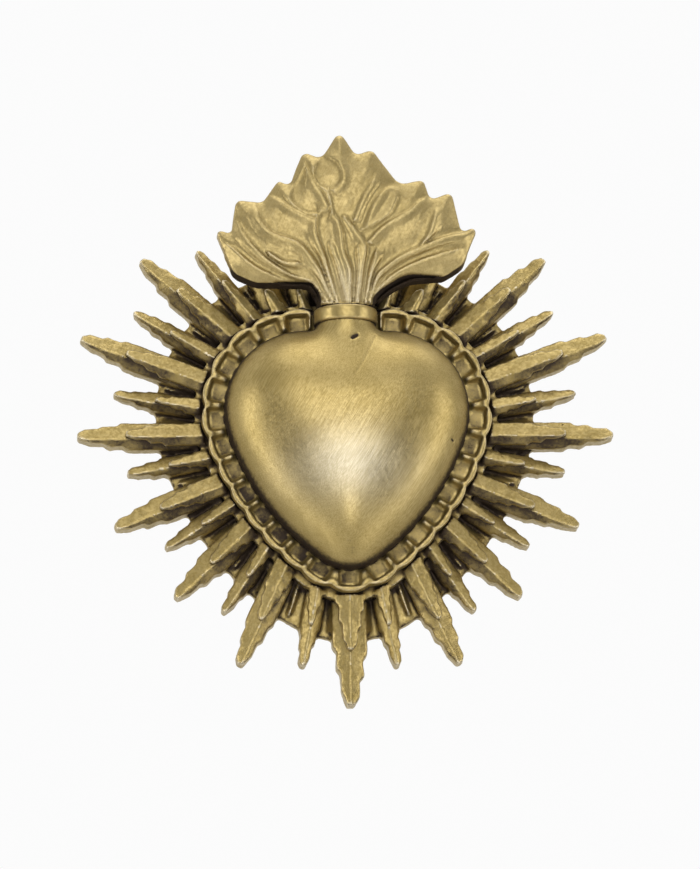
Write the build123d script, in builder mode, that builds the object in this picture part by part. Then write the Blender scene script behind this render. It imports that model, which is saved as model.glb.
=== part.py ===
from build123d import *
from math import atan2, cos, degrees, hypot, radians, sin, sqrt
import os

# A flaming heart ex-voto for the wall: a heart in a scalloped border on two tiers of ridged rays.
# X runs to the right, Z up, and the front faces -Y. The flat back lies on the wall plane, Y = 0.
# Heights are measured from the wall towards the viewer. All sizes are in millimetres.

# Heart outline
HEART_HALF_WIDTH = 40.7
HEART_TOP = 34.2
HEART_BOTTOM = -46.5
SHOULDER_RADIUS = 27.0
SIDE_RADIUS = 85.0
TIP_RADIUS = 14.5

# Heart dome and its hollow. A step is an inset as a share of the tip radius, and the shrink of what is left.
DOME_RISE = 19.0
DOME_FULLNESS = 2.5
DOME_STEPS = (
    (0.0, 1.0), (0.1, 1.0), (0.28, 1.0), (0.55, 1.0), (0.85, 1.0), (0.85, 0.72), (0.85, 0.42), (0.85, 0.14),
)
RIM_WALL = 1.5
HEART_WALL = 2.4
HOLLOW_SHARE = 0.9

# Rear ray plate
PLATE_THICKNESS = 5.0
WEB_THICKNESS = 3.4
SCREW_PAD_MARGIN = 1.6
WEB_MARGIN = 22.3
VALLEY_RADIUS = 1.3
SPIGOT_INSET = 4.0
SPIGOT_REACH = 1.0
SPIGOT_CLEARANCE = 0.15

# Rays: direction in degrees from straight down, and how far each tip is from the centre
FOOT_RAY_REACH = 91.0
TOE_RAY = (11.4, 79.5)
LONG_RAYS = (
    (25.3, 85.2), (46.4, 79.0), (68.2, 82.9), (90.1, 89.3), (111.0, 94.0), (131.8, 90.6), (152.2, 72.0),
)
SHORT_RAYS = (
    (35.0, 72.6), (58.0, 71.1), (80.3, 73.8), (100.7, 78.4), (121.2, 81.9), (142.4, 80.2), (162.8, 66.0),
)
RAY_ROOT = 36.0
FOOT_RAY_HALF_WIDTH = 5.8
LONG_RAY_HALF_WIDTH = 4.6
SHORT_RAY_HALF_WIDTH = 3.3
FILL_RAY_HALF_WIDTH = 1.3
FILL_RAY_MARGIN = 20.3
RAY_EDGE = 6.8
RAY_RIDGE = 9.2
RAY_TIP_DROP = 1.6
RIDGE_LEAN = 0.3
ROOF_SINK = 1.0
ROOF_OVERHANG = 1.25
FILL_RAY_EDGE = 4.6
FILL_RAY_RIDGE = 6.2

# Ragged barbs along a ray: distance back from the tip, and the share of the half width there
BARBS = ((14.4, 1.0), (12.8, 0.76), (8.2, 0.8), (6.8, 0.54), (2.2, 0.52), (0.0, 0.2))
BARB_STAGGER = 2.2
FOOT_BARB_SCALE = 1.2
SHORT_BARB_SCALE = 0.8
FILL_BARB_SCALE = 0.3
FRONT_BARB_SCALE = 0.8

# Front ray tier
FOOT_TIER_STEP = 18.0
LONG_TIER_STEP = 16.0
SHORT_TIER_STEP = 13.8
FRONT_RAY_SHARE = 0.82
FRONT_RING_MARGIN = 9.8
FRONT_RING_THICKNESS = 3.5
FRONT_RAY_EDGE = 10.0
FRONT_RAY_RIDGE = 11.9

# Scalloped frame
FRAME_WIDTH = 7.7
FRAME_RISE = 5.6
FRAME_LEDGE = 2.0
FRAME_EDGE_ROUND = 0.8
FRAME_RIM = 1.9
RIB_DROP = 0.6
CUPS_PER_SIDE = 13
SCALLOP_RADIUS = 9.0
CUP_RADIUS = 4.0
CUP_LIFT = 0.9
CUP_OUTER = 5.6
MOAT_WIDTH = 1.0
MOAT_DEPTH = 2.4
HEART_CLEARANCE = 0.15

# Neck, collar and tenon
NECK_HALF_WIDTH = 9.3
NECK_RISE = 13.2
NECK_SEAM = 38.6
COLLAR_BOTTOM = 36.0
COLLAR_HEIGHT = 5.1
COLLAR_PROUD = 0.7
COLLAR_SINK = 0.9
COLLAR_ROUND = 0.9
COLLAR_CLEARANCE = 0.1
COLLAR_SIDE_GAP = 0.9
TENON_RADIUS = 4.4
TENON_LENGTH = 10.0
TENON_RISE = 6.6
TENON_CLEARANCE = 0.1

# Flame
FLAME_BACK = 12.4
FLAME_EDGE = 17.0
FLAME_LEAN = 1.0
FLAME_SPREAD = 13.5
FLAME_SPREAD_RISE = 8.2
FLAME_SPREAD_HEIGHT = 51.0
FLAME_STEM_STEPS = (0.0, 0.5, 1.0)
TONGUE_SINK = 1.5
TONGUE_ROOT_SPREAD = 7.0
TONGUE_ROOT_HALF_WIDTH = 1.4
TONGUE_TIP_HALF_WIDTH = 1.2
TONGUE_TIP_RISE = 0.8
FLAME_BOSS_RADIUS = 4.0
FLAME_BOSS_X = 7.0
FLAME_BOSS_Z = 48.6

# Fixing screws and washers
SCREW_RADIUS = 2.0
SCREW_HEAD_RADIUS = 3.5
SCREW_HEAD_HEIGHT = 2.2
SCREW_SLOT_WIDTH = 0.9
SCREW_SLOT_DEPTH = 1.0
SCREW_BITE = 6.0
SCREW_END_GAP = 1.0
SCREW_CLEARANCE = 0.2
THREAD_CLEARANCE = 0.05
WASHER_RADIUS = 4.0
WASHER_THICKNESS = 0.8
COUNTERBORE_CLEARANCE = 0.3
COUNTERBORE_DEPTH = 3.4
HEART_BOSS_RADIUS = 4.4
UPPER_SCREW_X = 22.0
UPPER_SCREW_Z = 8.0
LOWER_SCREW_Z = -28.0

# Hanger
HINGE_Z = 17.0
RECESS_RADIUS = 12.4
RECESS_DEPTH = 4.5
RING_RADIUS = 9.0
RING_CORNER = 2.5
RING_WIRE_RADIUS = 1.0
RING_CLEARANCE = 0.06
STRAP_THICKNESS = 0.8
STRAP_WIDTH = 8.0
STRAP_TAB = 6.8
HANGER_SCREW_X = 2.2
HANGER_SCREW_UP = 4.0
HANGER_SCREW_RADIUS = 0.9
HANGER_SCREW_HEAD_RADIUS = 1.7
HANGER_SCREW_HEAD_HEIGHT = 0.9
HANGER_SCREW_BITE = 3.4

# Levels that follow from the sizes above
FRAME_BASE = PLATE_THICKNESS + FRONT_RING_THICKNESS
SPIGOT_TOP = FRAME_BASE + SPIGOT_REACH
LEDGE = FRAME_BASE + FRAME_LEDGE
FRAME_TOP = FRAME_BASE + FRAME_RISE
DOME_BASE = LEDGE + RIM_WALL
HINGE_HEIGHT = RECESS_DEPTH - STRAP_THICKNESS - RING_CLEARANCE - RING_WIRE_RADIUS

# Flare of the neck into the dome: height up the heart, half width and rise of each section
NECK_FLARE = ((20.0, 27.0, 15.4), (26.0, 19.0, 15.0), (31.0, 12.6, 14.0))

# Flame tongues: the tip, a bend along the way, the widest half width and the height of the ridge
TONGUES = (
    ((-41.6, 66.0), (-27.0, 53.5), 5.0, 20.0),
    ((-35.0, 76.0), (-22.5, 58.5), 5.6, 20.8),
    ((-22.2, 82.0), (-13.5, 64.5), 5.6, 21.4),
    ((-13.4, 92.0), (-7.0, 71.0), 5.4, 22.0),
    ((-2.3, 98.0), (-1.0, 73.0), 5.4, 22.4),
    ((8.0, 92.6), (6.0, 71.0), 5.4, 22.0),
    ((22.6, 82.6), (13.0, 65.0), 5.8, 21.4),
    ((32.2, 78.4), (22.0, 58.5), 5.6, 20.8),
    ((40.2, 66.6), (26.5, 53.0), 5.0, 20.0),
)

# Flame edge, from the left of the neck over the nine tips to its right: each corner and its rounding
FLAME_OUTLINE = (
    ((-8.6, 42.4), 1.0), ((-9.6, 46.2), 3.0), ((-13.6, 49.4), 4.0), ((-30.0, 49.4), 8.0),
    ((-37.6, 52.6), 6.0), ((-44.1, 68.3), 1.3), ((-38.2, 65.9), 1.5), ((-36.8, 77.8), 2.2),
    ((-27.9, 77.0), 3.0), ((-22.5, 84.9), 1.2), ((-18.9, 82.9), 1.8), ((-14.4, 95.0), 2.2),
    ((-8.2, 92.6), 2.8), ((-2.3, 102.5), 1.9), ((3.3, 94.1), 2.0), ((8.8, 96.0), 2.0),
    ((17.8, 84.1), 4.0), ((26.0, 85.9), 1.6), ((28.2, 79.0), 1.8), ((35.4, 81.9), 2.0),
    ((38.6, 67.9), 1.5), ((44.5, 70.5), 1.3), ((39.2, 57.0), 6.0), ((33.0, 52.6), 6.0),
    ((21.0, 51.2), 6.0), ((12.4, 46.0), 3.0), ((8.6, 42.4), 1.0),
)


def level(height):
    """The plane at this height off the wall, seen from the front."""
    return Plane.XZ.offset(height)


# Heart outline: a flat top, then shoulder, side and tip arcs that run into each other
SHOULDER = (HEART_HALF_WIDTH - SHOULDER_RADIUS, HEART_TOP - SHOULDER_RADIUS)
TIP = (0.0, HEART_BOTTOM + TIP_RADIUS)


def side_centre():
    """Centre of the side arc that holds both the shoulder and the tip circle inside it."""
    to_shoulder = SIDE_RADIUS - SHOULDER_RADIUS
    to_tip = SIDE_RADIUS - TIP_RADIUS
    across = TIP[0] - SHOULDER[0]
    down = TIP[1] - SHOULDER[1]
    span = hypot(across, down)
    along = (to_shoulder**2 - to_tip**2 + span**2) / (2 * span)
    aside = sqrt(to_shoulder**2 - along**2)
    x = SHOULDER[0] + (along * across + aside * down) / span
    z = SHOULDER[1] + (along * down - aside * across) / span
    return x, z


SIDE = side_centre()
SHOULDER_END = degrees(atan2(SHOULDER[1] - SIDE[1], SHOULDER[0] - SIDE[0]))
SIDE_END = degrees(atan2(TIP[1] - SIDE[1], TIP[0] - SIDE[0]))
HEART_ARCS = (
    (SHOULDER, SHOULDER_RADIUS, 90.0, SHOULDER_END),
    (SIDE, SIDE_RADIUS, SHOULDER_END, SIDE_END),
    (TIP, TIP_RADIUS, SIDE_END, -90.0),
)


def heart_face(height, grow=0.0, share=1.0):
    """The heart's outline at this height, grown outwards or scaled about the centre."""
    with BuildSketch(level(height)) as outline:
        with BuildLine():
            Line((0, HEART_TOP), (SHOULDER[0], HEART_TOP))
            for centre, radius, start, end in HEART_ARCS:
                CenterArc(centre, radius, start, end - start)
            mirror(about=Plane.YZ)
        make_face()
        if grow:
            offset(amount=grow, mode=Mode.REPLACE)
        if share != 1.0:
            scale(by=share)
    return outline.sketch


def border_length(grow):
    """Length of half the border, from the top centre to the tip."""
    arcs = sum((radius + grow) * radians(start - end) for centre, radius, start, end in HEART_ARCS)
    return SHOULDER[0] + arcs


def border_place(run, grow):
    """Point on the right half of the border after this run from the top centre, and its outward direction."""
    if run <= SHOULDER[0]:
        return run, HEART_TOP + grow, 90.0
    run -= SHOULDER[0]
    for centre, radius, start, end in HEART_ARCS:
        length = (radius + grow) * radians(start - end)
        if run <= length or end == -90.0:
            angle = start - degrees(run / (radius + grow))
            x = centre[0] + (radius + grow) * cos(radians(angle))
            z = centre[1] + (radius + grow) * sin(radians(angle))
            return x, z, angle
        run -= length


def ray_plane(direction):
    """Wall plane whose local X runs out along a ray."""
    out = (sin(radians(direction)), 0, -cos(radians(direction)))
    return Plane(origin=(0, 0, 0), x_dir=out, z_dir=(0, -1, 0))


def ray_points(reach, half_width, barb_scale):
    """Outline of a ray: a straight root, then barbs that step in to a blunt tip, staggered side to side."""
    upper = [(RAY_ROOT, half_width)]
    lower = [(RAY_ROOT, -half_width)]
    for back, share in BARBS:
        shift = BARB_STAGGER * barb_scale if back else 0
        upper.append((reach - back * barb_scale, share * half_width))
        lower.append((reach - back * barb_scale - shift, -share * half_width))
    return upper + lower[::-1]


def roof_sections(direction, reach, half_width, base, edge, ridge):
    """Root and tip profiles of a pitched roof over a ray, with its ridge nearer to the ray's lower side."""
    plane = ray_plane(direction)
    eave = half_width * ROOF_OVERHANG
    crest = -RIDGE_LEAN * half_width * sin(radians(direction))
    fall_above = (ridge - edge) / (half_width - crest) * (eave - crest)
    fall_below = (ridge - edge) / (half_width + crest) * (eave + crest)
    sections = []
    for along, drop in ((RAY_ROOT - ROOF_SINK, 0), (reach + ROOF_SINK, RAY_TIP_DROP)):
        origin = plane.from_local_coords((along, 0, 0))
        end = Plane(origin=origin, x_dir=plane.y_dir, z_dir=plane.x_dir)
        with BuildSketch(end) as profile:
            with BuildLine():
                top = ridge - drop
                above = (eave, top - fall_above)
                below = (-eave, top - fall_below)
                Polyline((-eave, base), below, (crest, top), above, (eave, base), close=True)
            make_face()
        sections.append(profile.sketch)
    return sections


def ray_blade(direction, reach, half_width, barb_scale, base, edge, ridge):
    """One ridged ray from the base height up to its roof."""
    with BuildPart() as blade:
        with BuildSketch(ray_plane(direction).offset(base)):
            with BuildLine():
                Polyline(*ray_points(reach, half_width, barb_scale), close=True)
            make_face()
        extrude(amount=ridge - base)
        roof = roof_sections(direction, reach, half_width, base - ROOF_SINK, edge, ridge)
        loft(roof, ruled=True, mode=Mode.INTERSECT)
    return blade.part


# Direction, reach, half width and barb scale of the foot ray and of each ray on the right, from the foot up
FOOT_RAY = (0.0, FOOT_RAY_REACH, FOOT_RAY_HALF_WIDTH, FOOT_BARB_SCALE)
RIGHT_RAYS = [(*TOE_RAY, SHORT_RAY_HALF_WIDTH, SHORT_BARB_SCALE)]
for long_ray, short_ray in zip(LONG_RAYS, SHORT_RAYS):
    RIGHT_RAYS.append((*long_ray, LONG_RAY_HALF_WIDTH, 1.0))
    RIGHT_RAYS.append((*short_ray, SHORT_RAY_HALF_WIDTH, SHORT_BARB_SCALE))
TIER_STEPS = [FOOT_TIER_STEP, SHORT_TIER_STEP] + [LONG_TIER_STEP, SHORT_TIER_STEP] * len(LONG_RAYS)


def both_sides(pieces):
    """The pieces on the right and their mirror images on the left."""
    return pieces + [mirror(piece, about=Plane.YZ) for piece in pieces]


def fill_rays():
    """Thin ridges on the web, half way between neighbouring rays, from the foot up."""
    edge = heart_face(0, FILL_RAY_MARGIN).face().outer_wire()
    directions = [FOOT_RAY[0]] + [ray[0] for ray in RIGHT_RAYS]
    rays = []
    for one, other in zip(directions, directions[1:]):
        direction = (one + other) / 2
        line = Edge.make_line((0, 0, 0), ray_plane(direction).x_dir * FOOT_RAY_REACH)
        reach = edge.intersect(line).vertices()[0].distance_to((0, 0, 0))
        rays.append((direction, reach, FILL_RAY_HALF_WIDTH, FILL_BARB_SCALE))
    return rays


def ray_face(direction, reach, half_width, barb_scale):
    """Flat outline of a ray on the wall plane."""
    with BuildSketch(ray_plane(direction)) as outline:
        with BuildLine():
            Polyline(*ray_points(reach, half_width, barb_scale), close=True)
        make_face()
    return outline.sketch


# Flat outline of the rear plate: rays on a heart-shaped web, with rounded valleys between them
with BuildSketch(level(0)) as plate_outline:
    add([ray_face(*ray) for ray in RIGHT_RAYS])
    mirror(about=Plane.YZ)
    add([heart_face(0, WEB_MARGIN), ray_face(*FOOT_RAY)])
    offset(amount=VALLEY_RADIUS, mode=Mode.REPLACE)
    offset(amount=-VALLEY_RADIUS, mode=Mode.REPLACE)

HEART_SCREW_PLACES = ((-UPPER_SCREW_X, UPPER_SCREW_Z), (UPPER_SCREW_X, UPPER_SCREW_Z), (0, LOWER_SCREW_Z))
FLAME_SCREW_PLACES = ((-FLAME_BOSS_X, FLAME_BOSS_Z), (FLAME_BOSS_X, FLAME_BOSS_Z))
HANGER_SCREW_PLACES = (
    (-HANGER_SCREW_X, HINGE_Z + HANGER_SCREW_UP),
    (HANGER_SCREW_X, HINGE_Z + HANGER_SCREW_UP),
)

# What is cut out of the rear plate from behind: screw holes, counterbores and the hanger recess
with BuildPart() as rear_cuts:
    with BuildSketch(level(0)):
        with Locations(*HEART_SCREW_PLACES, *FLAME_SCREW_PLACES):
            Circle(WASHER_RADIUS + COUNTERBORE_CLEARANCE)
    extrude(amount=COUNTERBORE_DEPTH)
    with BuildSketch(level(0)):
        with Locations(*HEART_SCREW_PLACES, *FLAME_SCREW_PLACES):
            Circle(SCREW_RADIUS + SCREW_CLEARANCE)
    extrude(amount=SPIGOT_TOP)
    with BuildSketch(level(0)):
        with Locations((0, HINGE_Z)):
            Circle(RECESS_RADIUS)
    extrude(amount=RECESS_DEPTH)
    with BuildSketch(level(RECESS_DEPTH)):
        with Locations(*HANGER_SCREW_PLACES):
            Circle(HANGER_SCREW_RADIUS + THREAD_CLEARANCE)
    extrude(amount=HANGER_SCREW_BITE + SCREW_END_GAP)

# Seat for the front tier and the frame, where the rear rays are cut back
with BuildPart() as tier_seat:
    extrude(heart_face(PLATE_THICKNESS, FRONT_RING_MARGIN + SPIGOT_CLEARANCE), amount=RAY_RIDGE)
    extrude(heart_face(FRAME_BASE, FRAME_WIDTH + SPIGOT_CLEARANCE), amount=RAY_RIDGE)

# Rear ray plate: a thin web with its rays, a thick middle, pads for the flame and a heart-shaped spigot
REAR_ROOF = (WEB_THICKNESS - ROOF_SINK, RAY_EDGE, RAY_RIDGE)
FILL_ROOF = (WEB_THICKNESS - ROOF_SINK, FILL_RAY_EDGE, FILL_RAY_RIDGE)
rear_blades = [ray_blade(*FOOT_RAY, *REAR_ROOF)]
rear_blades += both_sides([ray_blade(*ray, *REAR_ROOF) for ray in RIGHT_RAYS])
rear_blades += both_sides([ray_blade(*ray, *FILL_ROOF) for ray in fill_rays()])
with BuildPart() as rear_rays:
    extrude(plate_outline.sketch, amount=WEB_THICKNESS)
    add(rear_blades)
    extrude(heart_face(0, FRONT_RING_MARGIN), amount=PLATE_THICKNESS)
    with BuildSketch(level(0)):
        with Locations(*FLAME_SCREW_PLACES):
            Circle(WASHER_RADIUS + COUNTERBORE_CLEARANCE + SCREW_PAD_MARGIN)
    extrude(amount=PLATE_THICKNESS)
    add(tier_seat.part, mode=Mode.SUBTRACT)
    extrude(heart_face(0, -SPIGOT_INSET), amount=SPIGOT_TOP)
    add(rear_cuts.part, mode=Mode.SUBTRACT)


FRONT_ROOF = (PLATE_THICKNESS, FRONT_RAY_EDGE, FRONT_RAY_RIDGE)


def front_blade(step, direction, reach, half_width, barb_scale):
    """A ray of the front tier, shorter by its step and hollowed below to sit on the ray behind it."""
    width = half_width * FRONT_RAY_SHARE
    barbs = barb_scale * FRONT_BARB_SCALE
    with BuildPart() as blade:
        add(ray_blade(direction, reach - step, width, barbs, *FRONT_ROOF))
        loft(roof_sections(direction, reach, half_width, *REAR_ROOF), ruled=True, mode=Mode.SUBTRACT)
    return blade.part


# Front ray tier: a heart-shaped ring with its shorter rays, which start at the foot of the frame
FRONT_RAYS = zip(TIER_STEPS, [FOOT_RAY] + RIGHT_RAYS)
foot_blade, *right_blades = [front_blade(step, *ray) for step, ray in FRONT_RAYS]
front_blades = [foot_blade] + both_sides(right_blades)
with BuildPart() as frame_seat:
    extrude(heart_face(0, -SPIGOT_INSET + SPIGOT_CLEARANCE), amount=FRAME_TOP)
    extrude(heart_face(FRAME_BASE, FRAME_WIDTH + SPIGOT_CLEARANCE), amount=FRAME_RISE)
with BuildPart() as front_rays:
    extrude(heart_face(PLATE_THICKNESS, FRONT_RING_MARGIN), amount=FRONT_RING_THICKNESS)
    add(front_blades)
    add(frame_seat.part, mode=Mode.SUBTRACT)


NECK_RADIUS = (NECK_HALF_WIDTH**2 + NECK_RISE**2) / (2 * NECK_RISE)
NECK_GAP = NECK_RADIUS + COLLAR_PROUD + COLLAR_SIDE_GAP
NECK_CUT_LENGTH = 4 * FRAME_WIDTH
CUP_MIDDLE = CUP_OUTER / 2
CUP_PITCH = (border_length(CUP_MIDDLE) - NECK_GAP) / (CUPS_PER_SIDE + 0.5)


def cup_places(grow):
    """Place and outward direction of each cup along the border, at this distance from the heart."""
    stretch = (border_length(grow) - NECK_GAP) / (border_length(CUP_MIDDLE) - NECK_GAP)
    places = [border_place(border_length(grow), grow)]
    for count in range(CUPS_PER_SIDE):
        run = NECK_GAP + (count + 0.5) * CUP_PITCH * stretch
        x, z, direction = border_place(run, grow)
        places.append((x, z, direction))
        places.append((-x, z, 180 - direction))
    return places


def scalloped_face(height, grow=0.0):
    """Outline of the frame at this height: a row of scallops round the heart, rounded where they meet."""
    with BuildSketch(level(height)) as outline:
        add(heart_face(height, CUP_OUTER))
        with Locations(*[place[:2] for place in cup_places(FRAME_WIDTH - SCALLOP_RADIUS)]):
            Circle(SCALLOP_RADIUS)
        offset(amount=FRAME_EDGE_ROUND, mode=Mode.REPLACE)
        offset(amount=grow - FRAME_EDGE_ROUND, mode=Mode.REPLACE)
    return outline.sketch


# Scoops of the cups, each lying outwards across the frame
RIB_TOP = FRAME_TOP - RIB_DROP
cup_planes = []
for x, z, direction in cup_places(0):
    outward = (cos(radians(direction)), 0, sin(radians(direction)))
    cup_planes.append(Plane(origin=(x, -RIB_TOP - CUP_LIFT, z), x_dir=(0, 1, 0), z_dir=outward))
with BuildPart() as cup_scoops:
    with BuildSketch(*cup_planes):
        Circle(CUP_RADIUS)
    extrude(amount=CUP_OUTER)

# Scalloped frame: a ledge for the heart, a moat round it, scooped cups between ribs and a raised rim
with BuildPart() as scalloped_frame:
    extrude(scalloped_face(FRAME_BASE), amount=FRAME_RISE)
    extrude(scalloped_face(RIB_TOP, -FRAME_RIM), amount=FRAME_RISE, mode=Mode.SUBTRACT)
    add(cup_scoops.part, mode=Mode.SUBTRACT)
    extrude(heart_face(FRAME_TOP - MOAT_DEPTH, MOAT_WIDTH), amount=FRAME_RISE, mode=Mode.SUBTRACT)
    extrude(heart_face(FRAME_BASE, -SPIGOT_INSET + SPIGOT_CLEARANCE), amount=FRAME_RISE, mode=Mode.SUBTRACT)
    extrude(heart_face(LEDGE, HEART_CLEARANCE), amount=FRAME_RISE, mode=Mode.SUBTRACT)
    with BuildSketch(level(LEDGE)):
        with Locations((0, HEART_TOP + FRAME_WIDTH)):
            Rectangle(2 * NECK_GAP, NECK_CUT_LENGTH)
    extrude(amount=FRAME_RISE, mode=Mode.SUBTRACT)


def dome_faces(wall, rise):
    """Sections of a dome set in by a wall: rims along the outline, with a keel to the tip, then the crown."""
    faces = []
    for inset_share, shrink in DOME_STEPS:
        inset = inset_share * (TIP_RADIUS - wall)
        reach = (1 - inset / HEART_HALF_WIDTH) * shrink
        height = DOME_BASE + rise * sqrt(1 - reach**DOME_FULLNESS)
        faces.append(heart_face(height, -wall - inset, shrink))
    return faces


# Outer form of the heart, before it is hollowed
with BuildPart() as heart_dome:
    extrude(heart_face(LEDGE), amount=RIM_WALL)
    loft(dome_faces(0, DOME_RISE))

# Hollow inside the heart
with BuildPart() as heart_hollow:
    extrude(heart_face(LEDGE, -HEART_WALL), amount=RIM_WALL)
    loft(dome_faces(HEART_WALL, DOME_RISE * HOLLOW_SHARE), ruled=True)

# Posts inside the heart that take the screws
with BuildPart() as heart_bosses:
    with BuildSketch(level(LEDGE)):
        with Locations(*HEART_SCREW_PLACES):
            Circle(HEART_BOSS_RADIUS)
    extrude(amount=RIM_WALL + DOME_RISE)
    add(heart_dome.part, mode=Mode.INTERSECT)


def neck_face(z, half_width, rise, grow=0.0):
    """Round section of the neck with its flat towards the wall, grown outwards if asked."""
    radius = (half_width**2 + rise**2) / (2 * rise)
    with BuildSketch(Plane(origin=(0, -LEDGE, z), x_dir=(1, 0, 0), z_dir=(0, 0, -1))) as section:
        with Locations((0, rise - radius)):
            Circle(radius + grow)
        with Locations((0, -radius - grow)):
            Rectangle(2 * (radius + grow), 2 * (radius + grow), mode=Mode.SUBTRACT)
    return section.sketch


NECK = (NECK_HALF_WIDTH, NECK_RISE)
COLLAR_TOP = COLLAR_BOTTOM + COLLAR_HEIGHT

# Heart shell with its neck
with BuildPart() as heart_shell:
    add(heart_dome.part)
    flare = [neck_face(*section) for section in NECK_FLARE]
    loft(flare + [neck_face(COLLAR_BOTTOM, *NECK)])
    extrude(neck_face(COLLAR_BOTTOM, *NECK, -COLLAR_SINK), amount=COLLAR_BOTTOM - NECK_SEAM)
    add(heart_hollow.part, mode=Mode.SUBTRACT)
    add(heart_bosses.part)
    with BuildSketch(level(LEDGE)):
        with Locations(*HEART_SCREW_PLACES):
            Circle(SCREW_RADIUS + THREAD_CLEARANCE)
    extrude(amount=SCREW_BITE + SCREW_END_GAP, mode=Mode.SUBTRACT)
    with BuildSketch(Plane.XY.offset(NECK_SEAM)):
        with Locations((0, -LEDGE - TENON_RISE)):
            Circle(TENON_RADIUS + TENON_CLEARANCE)
    extrude(amount=-TENON_LENGTH - SCREW_END_GAP, mode=Mode.SUBTRACT)

# Collar band over the seam between the neck and the flame, let into both
with BuildPart() as neck_collar:
    extrude(neck_face(COLLAR_BOTTOM, *NECK, COLLAR_PROUD), amount=-COLLAR_HEIGHT)
    outer_edges = edges().filter_by(GeomType.CIRCLE)
    fillet(outer_edges, COLLAR_ROUND)
    bore = neck_face(COLLAR_BOTTOM, *NECK, COLLAR_CLEARANCE - COLLAR_SINK)
    extrude(bore, amount=-COLLAR_HEIGHT, mode=Mode.SUBTRACT)


def leaning(point):
    """A point of the flame, drawn upright, once the flame leans to the right over the collar."""
    turn = radians(FLAME_LEAN)
    up = point[1] - COLLAR_TOP
    return point[0] * cos(turn) + up * sin(turn), COLLAR_TOP + up * cos(turn) - point[0] * sin(turn)


def tongue_sections(root_x, tip, bend, half_width, ridge):
    """Arched sections along a flame tongue that swings from the neck round its bend to the tip."""
    base = FLAME_EDGE - TONGUE_SINK
    root = (root_x, COLLAR_TOP + TONGUE_SINK)
    shape = (
        (0.0, TONGUE_ROOT_HALF_WIDTH, LEDGE + NECK_RISE),
        (0.3, (TONGUE_ROOT_HALF_WIDTH + half_width) / 2, ridge),
        (0.6, half_width, ridge),
        (0.85, (TONGUE_TIP_HALF_WIDTH + half_width) / 2, (ridge + FLAME_EDGE) / 2),
        (1.0, TONGUE_TIP_HALF_WIDTH, FLAME_EDGE + TONGUE_TIP_RISE),
    )
    sections = []
    for share, width, top in shape:
        near, middle, far = (1 - share) ** 2, 2 * share * (1 - share), share**2
        x = near * root[0] + middle * bend[0] + far * tip[0]
        z = near * root[1] + middle * bend[1] + far * tip[1]
        run_x = share * ((1 - share) * (bend[0] - root[0]) + share * (tip[0] - bend[0]))
        run_z = (1 - share) * (bend[1] - root[1]) + share * (tip[1] - bend[1])
        across = Plane(origin=(x, -base, z), x_dir=(run_z, 0, -run_x), z_dir=(-run_x, 0, -run_z))
        with BuildSketch(across) as section:
            with BuildLine():
                ThreePointArc((-width, 0), (0, top - base), (width, 0))
                Line((-width, 0), (width, 0))
            make_face()
        sections.append(section.sketch)
    return sections


# Flame: a flat-backed plate with nine ridged tongues, a stem over the neck and a tenon into it
stem_faces = []
for share in FLAME_STEM_STEPS:
    z = COLLAR_TOP + share * (FLAME_SPREAD_HEIGHT - COLLAR_TOP)
    half_width = NECK_HALF_WIDTH + share**2 * (FLAME_SPREAD - NECK_HALF_WIDTH)
    stem_faces.append(neck_face(z, half_width, NECK_RISE + share * (FLAME_SPREAD_RISE - NECK_RISE)))
tongues = []
for count, (tip, bend, half_width, ridge) in enumerate(TONGUES):
    root_x = (2 * count / (len(TONGUES) - 1) - 1) * TONGUE_ROOT_SPREAD
    sections = tongue_sections(root_x, leaning(tip), leaning(bend), half_width, ridge)
    tongues.append(loft(sections, ruled=True))
with BuildPart() as flame_crown:
    with BuildSketch(level(FLAME_BACK)):
        with BuildLine():
            corners = [leaning(corner) for corner, rounding in FLAME_OUTLINE]
            FilletPolyline(*corners, radius=[rounding for corner, rounding in FLAME_OUTLINE], close=True)
        make_face()
    extrude(amount=FLAME_EDGE - FLAME_BACK)
    extrude(neck_face(COLLAR_TOP, *NECK, -COLLAR_SINK), amount=COLLAR_TOP - NECK_SEAM)
    loft(stem_faces)
    add(tongues)
    with BuildSketch(level(PLATE_THICKNESS)):
        with Locations(*FLAME_SCREW_PLACES):
            Circle(FLAME_BOSS_RADIUS)
    extrude(amount=FLAME_EDGE - PLATE_THICKNESS)
    with BuildSketch(level(PLATE_THICKNESS)):
        with Locations(*FLAME_SCREW_PLACES):
            Circle(SCREW_RADIUS + THREAD_CLEARANCE)
    extrude(amount=SCREW_BITE + SCREW_END_GAP, mode=Mode.SUBTRACT)
    with BuildSketch(Plane.XY.offset(NECK_SEAM)):
        with Locations((0, -LEDGE - TENON_RISE)):
            Circle(TENON_RADIUS)
    extrude(amount=-TENON_LENGTH)


def slotted_screws(places, end):
    """Slotted screws from behind, with their heads on washers in the counterbores."""
    seat = COUNTERBORE_DEPTH - WASHER_THICKNESS
    crown = seat - SCREW_HEAD_HEIGHT
    with BuildPart() as screws:
        with BuildSketch(level(crown)):
            with Locations(*places):
                Circle(SCREW_HEAD_RADIUS)
        extrude(amount=SCREW_HEAD_HEIGHT)
        with BuildSketch(level(crown)):
            with Locations(*places):
                Rectangle(2 * SCREW_HEAD_RADIUS, SCREW_SLOT_WIDTH)
        extrude(amount=SCREW_SLOT_DEPTH, mode=Mode.SUBTRACT)
        with BuildSketch(level(seat)):
            with Locations(*places):
                Circle(SCREW_RADIUS)
        extrude(amount=end - seat)
    return screws.part


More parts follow.
